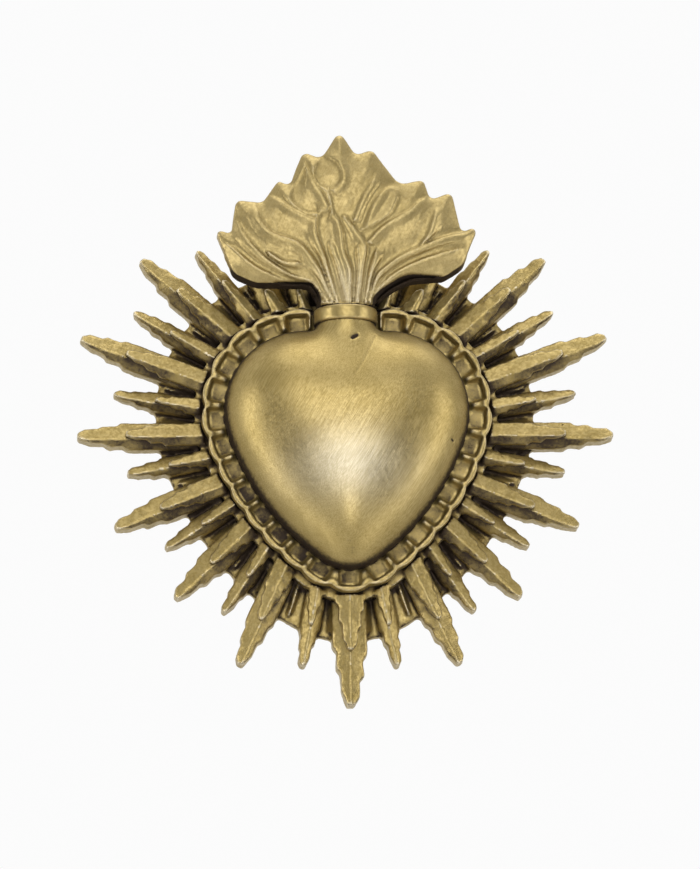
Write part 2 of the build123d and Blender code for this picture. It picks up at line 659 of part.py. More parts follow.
def washers(places):
    """Flat washers at the bottom of the counterbores."""
    with BuildPart() as rings:
        with BuildSketch(level(COUNTERBORE_DEPTH - WASHER_THICKNESS)):
            with Locations(*places):
                Circle(WASHER_RADIUS)
                Circle(SCREW_RADIUS + SCREW_CLEARANCE, mode=Mode.SUBTRACT)
        extrude(amount=WASHER_THICKNESS)
    return rings.part


with BuildPart() as heart_screws:
    add(slotted_screws(HEART_SCREW_PLACES, LEDGE + SCREW_BITE))

with BuildPart() as heart_washers:
    add(washers(HEART_SCREW_PLACES))

with BuildPart() as flame_screws:
    add(slotted_screws(FLAME_SCREW_PLACES, PLATE_THICKNESS + SCREW_BITE))

with BuildPart() as flame_washers:
    add(washers(FLAME_SCREW_PLACES))

# Strap folded round the bar of the hanging ring, with its tab flat on the floor of the recess
with BuildPart() as hanger_strap:
    with BuildSketch(Plane(origin=(0, 0, HINGE_Z), x_dir=(0, -1, 0), z_dir=(-1, 0, 0))):
        with Locations((HINGE_HEIGHT, 0)):
            Circle(RING_WIRE_RADIUS + RING_CLEARANCE + STRAP_THICKNESS)
        with Locations((RECESS_DEPTH - STRAP_THICKNESS / 2, STRAP_TAB / 2)):
            Rectangle(STRAP_THICKNESS, STRAP_TAB)
        with Locations((HINGE_HEIGHT, 0)):
            Circle(RING_WIRE_RADIUS + RING_CLEARANCE, mode=Mode.SUBTRACT)
    extrude(amount=STRAP_WIDTH / 2, both=True)
    with BuildSketch(level(RECESS_DEPTH)):
        with Locations(*HANGER_SCREW_PLACES):
            Circle(HANGER_SCREW_RADIUS + THREAD_CLEARANCE)
    extrude(amount=-STRAP_THICKNESS, mode=Mode.SUBTRACT)

# Small screws that hold the strap's tab
with BuildPart() as hanger_screws:
    with BuildSketch(level(RECESS_DEPTH - STRAP_THICKNESS)):
        with Locations(*HANGER_SCREW_PLACES):
            Circle(HANGER_SCREW_RADIUS)
    extrude(amount=STRAP_THICKNESS + HANGER_SCREW_BITE)
    with BuildSketch(level(RECESS_DEPTH - STRAP_THICKNESS)):
        with Locations(*HANGER_SCREW_PLACES):
            Circle(HANGER_SCREW_HEAD_RADIUS)
    extrude(amount=-HANGER_SCREW_HEAD_HEIGHT)

# D-shaped hanging ring, hanging down from its bar
with BuildPart() as hanging_ring:
    with BuildLine(Plane(origin=(0, -HINGE_HEIGHT, HINGE_Z), x_dir=(1, 0, 0), z_dir=(0, -1, 0))) as ring_path:
        Line((-RING_RADIUS, 0), (RING_RADIUS, 0))
        CenterArc((0, 0), RING_RADIUS, 180, 180)
        fillet(ring_path.vertices(), RING_CORNER)
    with BuildSketch(Plane(origin=(0, -HINGE_HEIGHT, HINGE_Z), x_dir=(0, 0, 1), z_dir=(1, 0, 0))):
        Circle(RING_WIRE_RADIUS)
    sweep(path=ring_path.wire())

PIECES = {
    "rear_rays": rear_rays,
    "front_rays": front_rays,
    "scalloped_frame": scalloped_frame,
    "heart_shell": heart_shell,
    "neck_collar": neck_collar,
    "flame_crown": flame_crown,
    "heart_screws": heart_screws,
    "heart_washers": heart_washers,
    "flame_screws": flame_screws,
    "flame_washers": flame_washers,
    "hanger_strap": hanger_strap,
    "hanger_screws": hanger_screws,
    "hanging_ring": hanging_ring,
}
os.makedirs("parts", exist_ok=True)
for name, piece in PIECES.items():
    piece.part.label = name
    export_step(piece.part, f"parts/{name}.step")
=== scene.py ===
"""Looks of a flaming heart wall ornament: softened brass castings, their hardware and a pale studio."""

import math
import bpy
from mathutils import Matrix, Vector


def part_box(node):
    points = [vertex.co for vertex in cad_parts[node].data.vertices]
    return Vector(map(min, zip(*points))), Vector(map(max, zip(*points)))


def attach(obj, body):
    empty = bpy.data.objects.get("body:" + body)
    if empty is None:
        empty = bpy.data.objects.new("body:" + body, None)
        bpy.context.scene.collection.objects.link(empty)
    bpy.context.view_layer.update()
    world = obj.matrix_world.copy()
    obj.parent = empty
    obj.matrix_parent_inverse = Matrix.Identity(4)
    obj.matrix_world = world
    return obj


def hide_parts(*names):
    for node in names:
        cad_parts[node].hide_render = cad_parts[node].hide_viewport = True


bl_info = {
    "name": "Flaming heart ornament",
    "version": (1, 0, 0),
    "blender": (4, 5, 0),
    "location": "View3D > Sidebar > Ornament",
    "description": "Dresses the pieces of a flaming heart wall ornament in antique brass",
    "category": "Object",
}

import bpy
import numpy as np
from mathutils import Quaternion, Vector, noise
from mathutils.kdtree import KDTree

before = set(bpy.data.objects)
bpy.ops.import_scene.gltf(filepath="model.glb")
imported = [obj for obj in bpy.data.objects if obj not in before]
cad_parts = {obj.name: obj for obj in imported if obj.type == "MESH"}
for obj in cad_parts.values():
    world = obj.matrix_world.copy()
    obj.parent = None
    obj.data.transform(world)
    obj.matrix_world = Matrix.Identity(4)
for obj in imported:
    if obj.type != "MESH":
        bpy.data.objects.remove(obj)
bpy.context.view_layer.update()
MM = 0.001


# Creases between the flame's leaves, as points across and up the front in millimetres
LEFT_CREASES = (
    ((-38.0, 61.0), (-30.0, 54.5), (-20.0, 50.3), (-11.5, 47.8), (-8.2, 43.0)),
    ((-35.9, 69.3), (-32.8, 63.7), (-26.8, 57.4), (-18.9, 52.5), (-11.6, 50.0), (-6.6, 43.0)),
    ((-29.8, 74.2), (-28.0, 69.3), (-23.7, 65.5), (-16.4, 63.0), (-11.6, 58.1), (-8.0, 52.0), (-4.8, 43.0)),
    ((-24.9, 58.7), (-21.0, 56.5), (-17.6, 56.2)),
    ((-23.1, 78.0), (-19.5, 75.5), (-14.0, 72.4), (-10.8, 71.1)),
    ((-9.8, 71.7), (-9.8, 65.5), (-6.7, 56.8), (-3.2, 43.0)),
)
BUD_CREASES = (
    ((-14.2, 88.5), (-17.6, 82.0), (-18.3, 77.3), (-14.0, 73.0), (-9.1, 72.6)),
    ((-13.0, 88.5), (-10.4, 83.6), (-6.7, 77.0), (-6.0, 74.0), (-9.1, 72.6)),
    ((-9.0, 91.5), (-10.9, 87.0), (-8.8, 82.6), (-5.0, 81.0), (-1.6, 84.8), (-2.6, 90.0), (-6.0, 92.6)),
)
MIDDLE_CREASES = (
    (
        (-5.8, 81.0), (-5.2, 77.3), (-4.3, 73.0), (-2.5, 70.5),
        (-1.3, 66.0), (-0.6, 60.0), (1.6, 53.0), (1.4, 43.0),
    ),
    ((0.0, 71.1), (3.6, 66.8), (6.6, 61.8), (6.0, 55.6), (4.3, 43.0)),
    ((-0.8, 43.0), (-3.0, 53.0), (-5.4, 60.0)),
    ((2.8, 43.0), (3.6, 53.0), (3.4, 60.0)),
    ((6.0, 43.0), (7.6, 53.0), (9.0, 58.0)),
    ((2.5, 71.5), (5.0, 78.0), (8.0, 83.5)),
)
RIGHT_CREASES = (
    (
        (6.0, 68.0), (8.5, 75.5), (12.7, 81.5), (16.6, 82.6),
        (17.2, 79.0), (14.5, 73.0), (9.5, 69.0), (6.0, 67.5),
    ),
    ((6.6, 63.0), (12.7, 69.3), (20.6, 74.2), (24.5, 78.0)),
    ((24.3, 61.8), (27.3, 66.8), (29.1, 73.0)),
    ((7.6, 43.0), (9.7, 51.2), (12.7, 54.9), (18.8, 59.3), (24.3, 61.8), (31.0, 64.9), (38.2, 67.4)),
    ((8.8, 43.0), (10.8, 48.1), (16.4, 53.3), (24.9, 57.7), (35.8, 61.3)),
)
CREASES = LEFT_CREASES + BUD_CREASES + MIDDLE_CREASES + RIGHT_CREASES

# Lower edges of the flame from the collar outwards, in millimetres, and the width of the bevel there
HEMS = (
    (((-8.8, 41.0), (-9.6, 45.5), (-11.0, 47.6), (-13.6, 49.2), (-27.0, 49.4)), 0.9),
    (((8.8, 41.0), (12.4, 46.0), (21.0, 51.2), (33.0, 52.6)), 1.9),
)
COLLAR_TOP = 41.1 * MM

# Bevel under the flame: its share of the full width at the collar, and how that grows and ends along the hem
BEVEL_START = 0.3
BEVEL_WIDENING = 4
BEVEL_NARROWING = 3
BEVEL_LEAST = 0.02
BEVEL_DEPTH = 3 * MM

# Flame's rim, and what counts as its front
RIM_FACING = 0.5
RIM_DROP = 1.5 * MM
RIM_BAND = 1 * MM
RIM_FOOT = 44 * MM
FRONT_LEAST = 0.15
FRONT_SPAN = 0.35
FRONT_DROP = 1.2 * MM
FRONT_RISE = 0.6 * MM

# Leaves and stem of the flame, with the heights where their relief fades
CREST_SHIFT = 0.5
HOLLOW_WIDTH = 2
RELIEF_FOOT = 58 * MM
RELIEF_FADE = 45 * MM
RELIEF_LEAST = 0.5
STEM_TOP = 56 * MM
STEM_FADE = 14 * MM
STEM_POWER = 1.5
STEM_HALF_WIDTH = 13 * MM
STEM_RISE = 3.2 * MM

# Underside of the flame, its painted shade, and the rubbed flutes of its stem, partly painted highlights
DOWN_LEAST = 0.2
DOWN_SPAN = 0.3
HEM_HEIGHT = 52 * MM
HEM_BAND = 8 * MM
HEM_FADE = 4 * MM
SIDE_SHADE_TOP = 64 * MM
SIDE_SHADE_FADE = 12 * MM
STEM_SHADE_DROP = 0.6 * MM
STEM_SHADE_TOP = 55 * MM
STEM_SHADE_FADE = 5 * MM
BEVEL_PAINTED_SHADE = 4
FLAME_PAINTED_SHADE = 2
FLUTE_TOP = 58 * MM
FLUTE_FADE = 8 * MM
FLUTE_HALF_WIDTH = 11 * MM
FLAME_RUB = 0.08
FLUTE_RUB_AND_HIGHLIGHT = 0.42

# Cups of the frame: their form, and the wax in them, heavier at the lower left
RIB_TOP = 13.5 * MM
CUP_DEPTH = 3.1 * MM
CUP_ROUNDING = 2.2
RIB_SHARE = 0.3
INNER_WALL = -0.5
OUTER_WALL = 0.3
BACK_FACING = 0.3
CUP_EASE_GAIN = 2
CUP_FLOOR = 0.5
CUP_WAX = 0.95
LOW_LEFT_WAX = 0.45
LOW_LEFT_START = 42 * MM
LOW_LEFT_FADE = 10 * MM
CUP_WAX_MARGIN = 0.2 * MM
CUP_WAX_FADE = MM
CUP_PATCH = 5 * MM
CUP_PATCH_PLACE = 8.3
CUP_PATCH_SHARE = 0.4

# Dark wax and painted shade on the facets of the rays that look down
RAY_DOWN_LEAST = 0.06
RAY_FRONT_LEAST = 0.2
RAY_WAX_AND_SHADE_SPAN = 0.3
RAY_WAX_AND_SHADE = 1.1
RAY_PATCH = 6 * MM
RAY_PATCH_PLACE = 5.1
RAY_PATCH_SHARE = 0.5

# Marks on the heart: points along each, its half width and its depth, in millimetres
HEART_MARKS = (
    (((1.5, 29.5), (3.0, 30.4)), 0.62, 0.9),
    (((1.9, 28.4), (2.1, 26.0)), 0.3, 0.1),
    (((9.3, 30.3), (7.6, 26.8), (6.1, 23.3), (3.9, 19.4), (1.7, 15.7)), 0.28, 0.13),
    (((34.1, -4.6), (34.5, -4.9)), 0.4, 0.3),
)
MARK_WAX = 6
MARK_WAX_MOST = 2.0
HEART_FRONT = -0.1

# Darkening round the heart's foot, and painted shade along the keel at its tip
FOOT_DARKENING = 1.5
FOOT_TOP = 19.5 * MM
FOOT_FADE = 4 * MM
KEEL_PAINTED_SHADE = 0.6
KEEL_HALF_WIDTH = 3.2 * MM
KEEL_TOP = -31 * MM
KEEL_FADE = 9 * MM

# Painted shade in a band inside the heart's lower outline, and the rubbed crown of its dome, partly a painted
# highlight
OUTLINE_HEIGHT = 15.8 * MM
OUTLINE_BAND = 0.5 * MM
OUTLINE_FACING = 0.6
PAINTED_BAND_SHADE = 1.9
BAND_TOP = 2 * MM
BAND_FADE = 14 * MM
BAND_INSET = 10.8 * MM
BAND_WIDTH = 2.8 * MM
CROWN_LEFT = 0.6 * MM
CROWN_DOWN = 14 * MM
CROWN_HALF_WIDTH = 17 * MM
CROWN_HALF_HEIGHT = 10.5 * MM

# Where the heart's dome is eased, and its throat under the collar
NECK_FOOT = 36 * MM
NECK_FADE = MM
DOME_FOOT = 16 * MM
DOME_FADE = 5 * MM
THROAT_HALF_WIDTH = 15 * MM
THROAT_FOOT = 8 * MM
THROAT_FADE = 8 * MM
DOME_EASING = 300
THROAT_EASING = 600

# Rounds of easing of each casting, the strength of one round and the least weight that counts
RAY_EASING = 3
FRAME_EASING = 6
CUP_EASING = 40
FRAME_LAST_EASING = 12
HEART_EASING = 6
COLLAR_EASING = 4
FLAME_EASING = 6
LEAF_EASING = 6
EASE_FACTOR = 0.5
EASE_LEAST = 0.01

# Waves of the cast surfaces: their length on each casting, and their height as a share of the wobble
RAY_WAVE = 3.2 * MM
FRAME_WAVE = 3.0 * MM
FRAME_WOBBLE = 0.6
HEART_WAVE = 9.0 * MM
HEART_WOBBLE = 0.2
COLLAR_WAVE = 4.0 * MM
COLLAR_WOBBLE = 0.3
FLAME_WAVE = 4.0 * MM
FLAME_WOBBLE = 0.5

# Where the long and the fine waves lie in the noise, and the fine ones as shares of the long ones
LONG_WAVE_PLACE = 3.7
FINE_WAVE_PLACE = 11.3
FINE_WAVE_LENGTH = 0.28
FINE_WAVE_SHARE = 0.4

# Most triangles left in each casting, about
RAY_TRIANGLES = 150000
FRAME_TRIANGLES = 140000
HEART_TRIANGLES = 150000
COLLAR_TRIANGLES = 60000
FLAME_TRIANGLES = 150000

# Steps of a smooth line between two stops, rounds of averaging of bends, and the least square of an edge
STROKE_STEPS = 40
BEND_ROUNDS = 2
LEAST_SQUARE = 1e-9

# Antique brass: sizes of its patterns in metres
CLOUD_SIZE = 0.012
MOTTLE_SIZE = 0.0011
STROKE_WIDTH = 0.00024
STROKE_LENGTH = 0.009
RELIEF_DEPTH = 0.00006

# Antique brass: the part of each pattern that shows, and how much it dulls, rubs, darkens or roughens
CLOUD_SPAN = (0.40, 0.66)
CLOUD_DULLING = 0.35
PAINTED_SHADE_DULLING = 0.45
MOTTLE_SPAN = (0.40, 0.62)
MOTTLE_DULLING = 0.35
STROKE_SPAN = (0.40, 0.62)
RUB_AND_HIGHLIGHT_SPAN = (0.35, 0.6)
RUB_AND_HIGHLIGHT_SHARES = (0.95, 0.6)
EDGE_SPAN = (0.25, 1.2)
CREASE_SPAN = (-0.2, -1.0)
WAX_AND_SHADE_COVER = -0.4
CREASE_COVER = -0.3
MOTTLE_BREAK = 0.5
COVER_SPAN = (1.08, 0.6)
WAX_AND_SHADE_MATT = 0.22
GLOSS_SPAN = (0.35, 0.7)
GLOSS_SPREAD = 0.12
BRASS_METAL = 0.85

# Plain brass of the hanger and washers
PLAIN_CLOUD_SIZE = 0.004
PLAIN_CLOUD_SPAN = (0.35, 0.7)
PLAIN_DULLING = 0.6
LINE_WIDTH = 0.0003
LINE_LENGTH = 0.006
LINE_DEPTH = 0.00004
LINE_SPAN = (0.3, 0.7)
PLAIN_ROUGHNESS = (0.26, 0.42)

# Zinc-coated steel of the screws
SPANGLE_SIZE = 0.0016
SPANGLE_DETAIL = 1.0
SPANGLE_SPAN = (0.4, 0.6)
SPANGLE_DARKENING = 0.7
STEEL_GLOSS_SPAN = (0.3, 0.7)
STEEL_ROUGHNESS = (0.28, 0.45)
STEEL_GRAIN = 0.0004
STEEL_DEPTH = 0.00003

# Patterns and edges of all finishes
GRAIN_ROUGHNESS = 0.6
STROKE_DETAIL = 4.0
HOLLOW_SAMPLES = 12
BEVEL_SEGMENTS = 2
SHARP_EDGE = math.radians(40.0)
SCREW_BEVEL = 0.12 * MM
WASHER_BEVEL = 0.1 * MM
STRAP_BEVEL = 0.12 * MM
RING_BEVEL = 0.05 * MM

# Surroundings, with the floor in metres, and the point the camera looks at, in millimetres from the origin
STUDIO_WHITE = (0.97, 0.97, 0.97, 1.0)
FLOOR_GREY = (0.9, 0.9, 0.9, 1.0)
FLOOR_ROUGHNESS = 0.8
FLOOR_HALF_SIDE = 3.0
SENSOR_HEIGHT = 36.0
AIM_RIGHT = 1.75
AIM_UP = 1.9


# Sizes and colours a user would change


class OrnamentCasting(bpy.types.PropertyGroup):
    """How finely the castings are made and how far their surfaces wander"""

    ray_grain: bpy.props.FloatProperty(
        name="Ray grain",
        description="Facet size of the two ray tiers",
        default=0.0005,
        min=0.0003,
        subtype="DISTANCE",
        unit="LENGTH",
        precision=5,
    )
    frame_grain: bpy.props.FloatProperty(
        name="Frame grain",
        description="Facet size of the scalloped frame and the collar",
        default=0.0004,
        min=0.0003,
        subtype="DISTANCE",
        unit="LENGTH",
        precision=5,
    )
    heart_grain: bpy.props.FloatProperty(
        name="Heart grain",
        description="Facet size of the heart and its neck",
        default=0.0005,
        min=0.0003,
        subtype="DISTANCE",
        unit="LENGTH",
        precision=5,
    )
    flame_grain: bpy.props.FloatProperty(
        name="Flame grain",
        description="Facet size of the flame",
        default=0.0004,
        min=0.0003,
        subtype="DISTANCE",
        unit="LENGTH",
        precision=5,
    )
    wobble: bpy.props.FloatProperty(
        name="Wobble",
        description="How far the cast surface wanders from the drawn one",
        default=0.00022,
        min=0.0,
        subtype="DISTANCE",
        unit="LENGTH",
        precision=5,
    )


class OrnamentFlame(bpy.types.PropertyGroup):
    """Relief and lean of the flame"""

    edge: bpy.props.FloatProperty(
        name="Edge",
        description="Height of the flame's edge off the wall",
        default=0.0168,
        subtype="DISTANCE",
        unit="LENGTH",
        precision=5,
    )
    swell: bpy.props.FloatProperty(
        name="Swell",
        description="How much higher the middle of the flame is than its edge",
        default=0.0036,
        subtype="DISTANCE",
        unit="LENGTH",
        precision=5,
    )
    swell_reach: bpy.props.FloatProperty(
        name="Swell reach",
        description="How far in from the edge the swell takes to rise",
        default=0.006,
        subtype="DISTANCE",
        unit="LENGTH",
        precision=5,
    )
    leaf_rise: bpy.props.FloatProperty(
        name="Leaf rise",
        description="How far the crest of a leaf stands up along its crease",
        default=0.0010,
        subtype="DISTANCE",
        unit="LENGTH",
        precision=5,
    )
    leaf_reach: bpy.props.FloatProperty(
        name="Leaf reach",
        description="Width of the crest of a leaf",
        default=0.0016,
        subtype="DISTANCE",
        unit="LENGTH",
        precision=5,
    )
    crease: bpy.props.FloatProperty(
        name="Crease",
        description="Depth of the hollow between a crest and the next leaf",
        default=0.0007,
        subtype="DISTANCE",
        unit="LENGTH",
        precision=5,
    )
    hem_drop: bpy.props.FloatProperty(
        name="Hem drop",
        description="How far the back of the lower edge reaches below its front",
        default=0.0012,
        subtype="DISTANCE",
        unit="LENGTH",
        precision=5,
    )
    lean: bpy.props.FloatProperty(
        name="Lean",
        description="Angle of the flame to the right over the collar",
        default=math.radians(1.0),
        subtype="ANGLE",
        unit="ROTATION",
    )


class OrnamentFinish(bpy.types.PropertyGroup):
    """Colours of the metals"""

    brass: bpy.props.FloatVectorProperty(
        name="Brass",
        description="Rubbed brass on the open surfaces",
        subtype="COLOR",
        default=(0.425, 0.322, 0.128),
        min=0.0,
        max=1.0,
    )
    olive: bpy.props.FloatVectorProperty(
        name="Olive brass",
        description="Greener, duller brass in clouds over the surface",
        subtype="COLOR",
        default=(0.28, 0.205, 0.066),
        min=0.0,
        max=1.0,
    )
    # Also the colour of the painted highlights on the heart's crown and the flame's flutes
    worn_and_highlight: bpy.props.FloatVectorProperty(
        name="Worn edges",
        description="Pale metal where edges are rubbed bright",
        subtype="COLOR",
        default=(0.71, 0.63, 0.46),
        min=0.0,
        max=1.0,
    )
    # Also the colour of the painted shade on the heart, the flame and the rays
    patina_and_shade: bpy.props.FloatVectorProperty(
        name="Patina",
        description="Dark brown wax left in the hollows",
        subtype="COLOR",
        default=(0.043, 0.030, 0.021),
        min=0.0,
        max=1.0,
    )
    plain_brass: bpy.props.FloatVectorProperty(
        name="Plain brass",
        description="Bare brass of the ring, strap and washers",
        subtype="COLOR",
        default=(0.60, 0.44, 0.17),
        min=0.0,
        max=1.0,
    )
    steel: bpy.props.FloatVectorProperty(
        name="Steel",
        description="Zinc-coated steel of the screws",
        subtype="COLOR",
        default=(0.42, 0.42, 0.43),
        min=0.0,
        max=1.0,
    )


class OrnamentStage(bpy.types.PropertyGroup):
    """Camera and floor"""

    azimuth: bpy.props.FloatProperty(
        name="Azimuth",
        description="Angle of the camera round the ornament",
        default=math.radians(-4.0),
        subtype="ANGLE",
        unit="ROTATION",
    )
    elevation: bpy.props.FloatProperty(
        name="Elevation",
        description="Angle of the camera above the ornament",
        default=math.radians(-13.0),
        subtype="ANGLE",
        unit="ROTATION",
    )
    roll: bpy.props.FloatProperty(
        name="Roll",
        description="Turn of the camera about its own axis",
        default=math.radians(-1.05),
        subtype="ANGLE",
        unit="ROTATION",
    )
    distance: bpy.props.FloatProperty(
        name="Distance",
        description="How far the camera stands from the point it looks at",
        default=2.0,
        min=0.5,
        subtype="DISTANCE",
        unit="LENGTH",
    )
    view_height: bpy.props.FloatProperty(
        name="View height",
        description="Height of the picture at the ornament",
        default=0.2897,
        min=0.05,
        subtype="DISTANCE",
        unit="LENGTH",
    )
    floor_drop: bpy.props.FloatProperty(
        name="Floor drop",
        description="How far the floor lies below the middle of the ornament",
        default=1.5,
        min=0.1,
        subtype="DISTANCE",
        unit="LENGTH",
    )


# Mesh helpers


def points_of(mesh):
    """Vertex positions of a mesh as rows."""
    flat = np.empty(len(mesh.vertices) * 3, np.float32)
    mesh.vertices.foreach_get("co", flat)
    return flat.reshape(-1, 3).astype(float)


def normals_of(mesh):
    """Vertex normals of a mesh as rows."""
    flat = np.empty(len(mesh.vertices) * 3, np.float32)
    mesh.vertex_normals.foreach_get("vector", flat)
    return flat.reshape(-1, 3).astype(float)


def set_points(mesh, points):
    """Moves the vertices of a mesh."""
    mesh.vertices.foreach_set("co", points.astype(np.float32).ravel())
    mesh.update()


def ramp(value, span):
    """Share of a span that a value has gone through, from 0 to 1."""
    return np.clip(value / span, 0, 1)


def bell(value, width):
    """A smooth hump, 1 where the value is zero and fading over this width to both sides."""
    return np.exp(-((value / width) ** 2))


def settle(distance, reach):
    """Rises from 0 towards 1 with distance, most of the way within this reach."""
    return 1 - np.exp(-distance / reach)


def cast_mesh(node, grain, easing):
    """The solid of a node in even facets of one size, with its edges eased as in a casting."""
    pattern = bpy.data.objects.new(node + "_pattern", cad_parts[node].data.copy())
    bpy.context.scene.collection.objects.link(pattern)
    facets = pattern.modifiers.new("facets", "REMESH")
    facets.mode = "VOXEL"
    facets.voxel_size = grain
    ease = pattern.modifiers.new("ease", "SMOOTH")
    ease.factor = EASE_FACTOR
    ease.iterations = easing
    settled = pattern.evaluated_get(bpy.context.evaluated_depsgraph_get())
    mesh = bpy.data.meshes.new_from_object(settled)
    bpy.data.objects.remove(pattern)
    return mesh


def wander(points, size, offset):
    """Smooth noise between -1 and 1 at each point, with bumps of about this size."""
    places = (points / size + offset).tolist()
    return np.array([noise.noise(place) for place in places])


def weather(mesh, wobble, size):
    """Lets the surface wander from the drawn one, in long waves and in fine ones."""
    points = points_of(mesh)
    long_wave = wander(points, size, LONG_WAVE_PLACE)
    fine_wave = wander(points, size * FINE_WAVE_LENGTH, FINE_WAVE_PLACE)
    shift = wobble * (long_wave + FINE_WAVE_SHARE * fine_wave)
    set_points(mesh, points + normals_of(mesh) * shift[:, None])


def keep_in_box(mesh, node):
    """Holds the casting inside the box of the node it stands for."""
    low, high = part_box(node)
    set_points(mesh, np.clip(points_of(mesh), np.array(low), np.array(high)))


def smooth_stroke(stops):
    """Points close together on a smooth line through the stops, in metres on the front plane."""
    line = np.array(stops) * MM
    ends = np.vstack((2 * line[0] - line[1], line, 2 * line[-1] - line[-2]))
    share = np.linspace(0.0, 1.0, STROKE_STEPS, endpoint=False)[:, None]
    spans = []
    for before, start, end, after in zip(ends, ends[1:], ends[2:], ends[3:]):
        pull = (end - before) * share + (2 * before - 5 * start + 4 * end - after) * share**2
        spans.append(start + 0.5 * (pull + (3 * start - before - 3 * end + after) * share**3))
    return np.vstack(spans + [line[-1:]])


def nearest_target(points, targets):
    """For each point, the nearest target across the front: its number and its distance."""
    tree = KDTree(len(targets))
    for count, (x, z) in enumerate(targets.tolist()):
        tree.insert((x, 0.0, z), count)
    tree.balance()
    flat = points[:, (0, 2)].tolist()
    found = [tree.find((x, 0.0, z))[1:] for x, z in flat]
    return np.array(found).T


def front_distance(points, targets):
    """Distance across the front from each point to the nearest target."""
    return nearest_target(points, targets)[1]


def distance_aside(points, lines):
    """Distance across the front from each point to the nearest line, with less than zero to its right."""
    places = np.vstack(lines)
    ways = np.vstack([np.gradient(line, axis=0) for line in lines])
    nearest, aside = nearest_target(points, places)
    nearest = nearest.astype(int)
    offset = points[:, (0, 2)] - places[nearest]
    turn = ways[nearest, 0] * offset[:, 1] - ways[nearest, 1] * offset[:, 0]
    return np.where(turn < 0, -aside, aside)


def keep_value(mesh, name, values):
    """Stores one number for each vertex, for the material to read."""
    attribute = mesh.attributes.new(name, "FLOAT", "POINT")
    attribute.data.foreach_set("value", values.astype(np.float32))


def store_edges(mesh):
    """Stores how sharply each place bends: one over the radius in millimetres, less than zero in a hollow."""
    ends = np.empty(len(mesh.edges) * 2, np.int32)
    mesh.edges.foreach_get("vertices", ends)
    one, other = ends.reshape(-1, 2).T
    points = points_of(mesh) / MM
    normals = normals_of(mesh)
    step = points[other] - points[one]
    square = np.maximum((step**2).sum(axis=1), LEAST_SQUARE)
    total = len(points)
    bend = np.bincount(one, -(normals[one] * step).sum(axis=1) / square, total)
    bend += np.bincount(other, (normals[other] * step).sum(axis=1) / square, total)
    share = np.bincount(one, minlength=total) + np.bincount(other, minlength=total)
    bend = 2 * bend / np.maximum(share, 1)
    for _ in range(BEND_ROUNDS):
        around = np.bincount(one, bend[other], total) + np.bincount(other, bend[one], total)
        bend = 0.5 * bend + 0.5 * around / np.maximum(share, 1)
    keep_value(mesh, "edge", bend)


def ease_mesh(mesh, rounds, where=None):
    """Softens a mesh by this many rounds of averaging, only as much at each vertex as where says."""
    pattern = bpy.data.objects.new("easing", mesh)
    bpy.context.scene.collection.objects.link(pattern)
    ease = pattern.modifiers.new("ease", "SMOOTH")
    ease.factor = EASE_FACTOR
    ease.iterations = rounds
    if where is not None:
        group = pattern.vertex_groups.new(name="where")
        for index in np.flatnonzero(where > EASE_LEAST).tolist():
            group.add([index], where[index], "REPLACE")
        ease.vertex_group = group.name
    settled = pattern.evaluated_get(bpy.context.evaluated_depsgraph_get())
    eased = bpy.data.meshes.new_from_object(settled)
    bpy.data.objects.remove(pattern)
    return eased


def leaning(line, angle):
    """Points of the flame, drawn upright, once it leans to the right over the collar."""
    up = line[:, 1] - COLLAR_TOP
    x = line[:, 0] * math.cos(angle) + up * math.sin(angle)
    z = COLLAR_TOP + up * math.cos(angle) - line[:, 0] * math.sin(angle)
    return np.stack((x, z), axis=1)


def hem_share(points, flame):
    """How deep each point lies in the bevel under the flame, from 0 at its top to 1 along the hem."""
    share = np.zeros(len(points))
    for stops, width in HEMS:
        line = leaning(smooth_stroke(stops), flame.lean)
        nearest, aside = nearest_target(points, line)
        along = nearest / len(line)
        widening = np.minimum(BEVEL_START + BEVEL_WIDENING * along, BEVEL_NARROWING * (1 - along))
        reach = width * MM * np.clip(widening, BEVEL_LEAST, 1)
        share = np.maximum(share, np.clip(1 - aside / reach, 0, 1))
    return share


def trim_stem(points, flame):
    """Lifts what spreads out beside the stem to the lower edges of the flame."""
    for side, (stops, _) in zip((-1, 1), HEMS):
        line = leaning(smooth_stroke(stops), flame.lean)
        outward = np.argsort(side * line[:, 0])
        hem = np.interp(side * points[:, 0], side * line[outward, 0], line[outward, 1])
        beside = (side * points[:, 0] > side * line[0, 0]) & (side * points[:, 0] < side * line[-1, 0])
        beside &= points[:, 2] > COLLAR_TOP
        points[:, 2] = np.where(beside, np.maximum(points[:, 2], hem), points[:, 2])


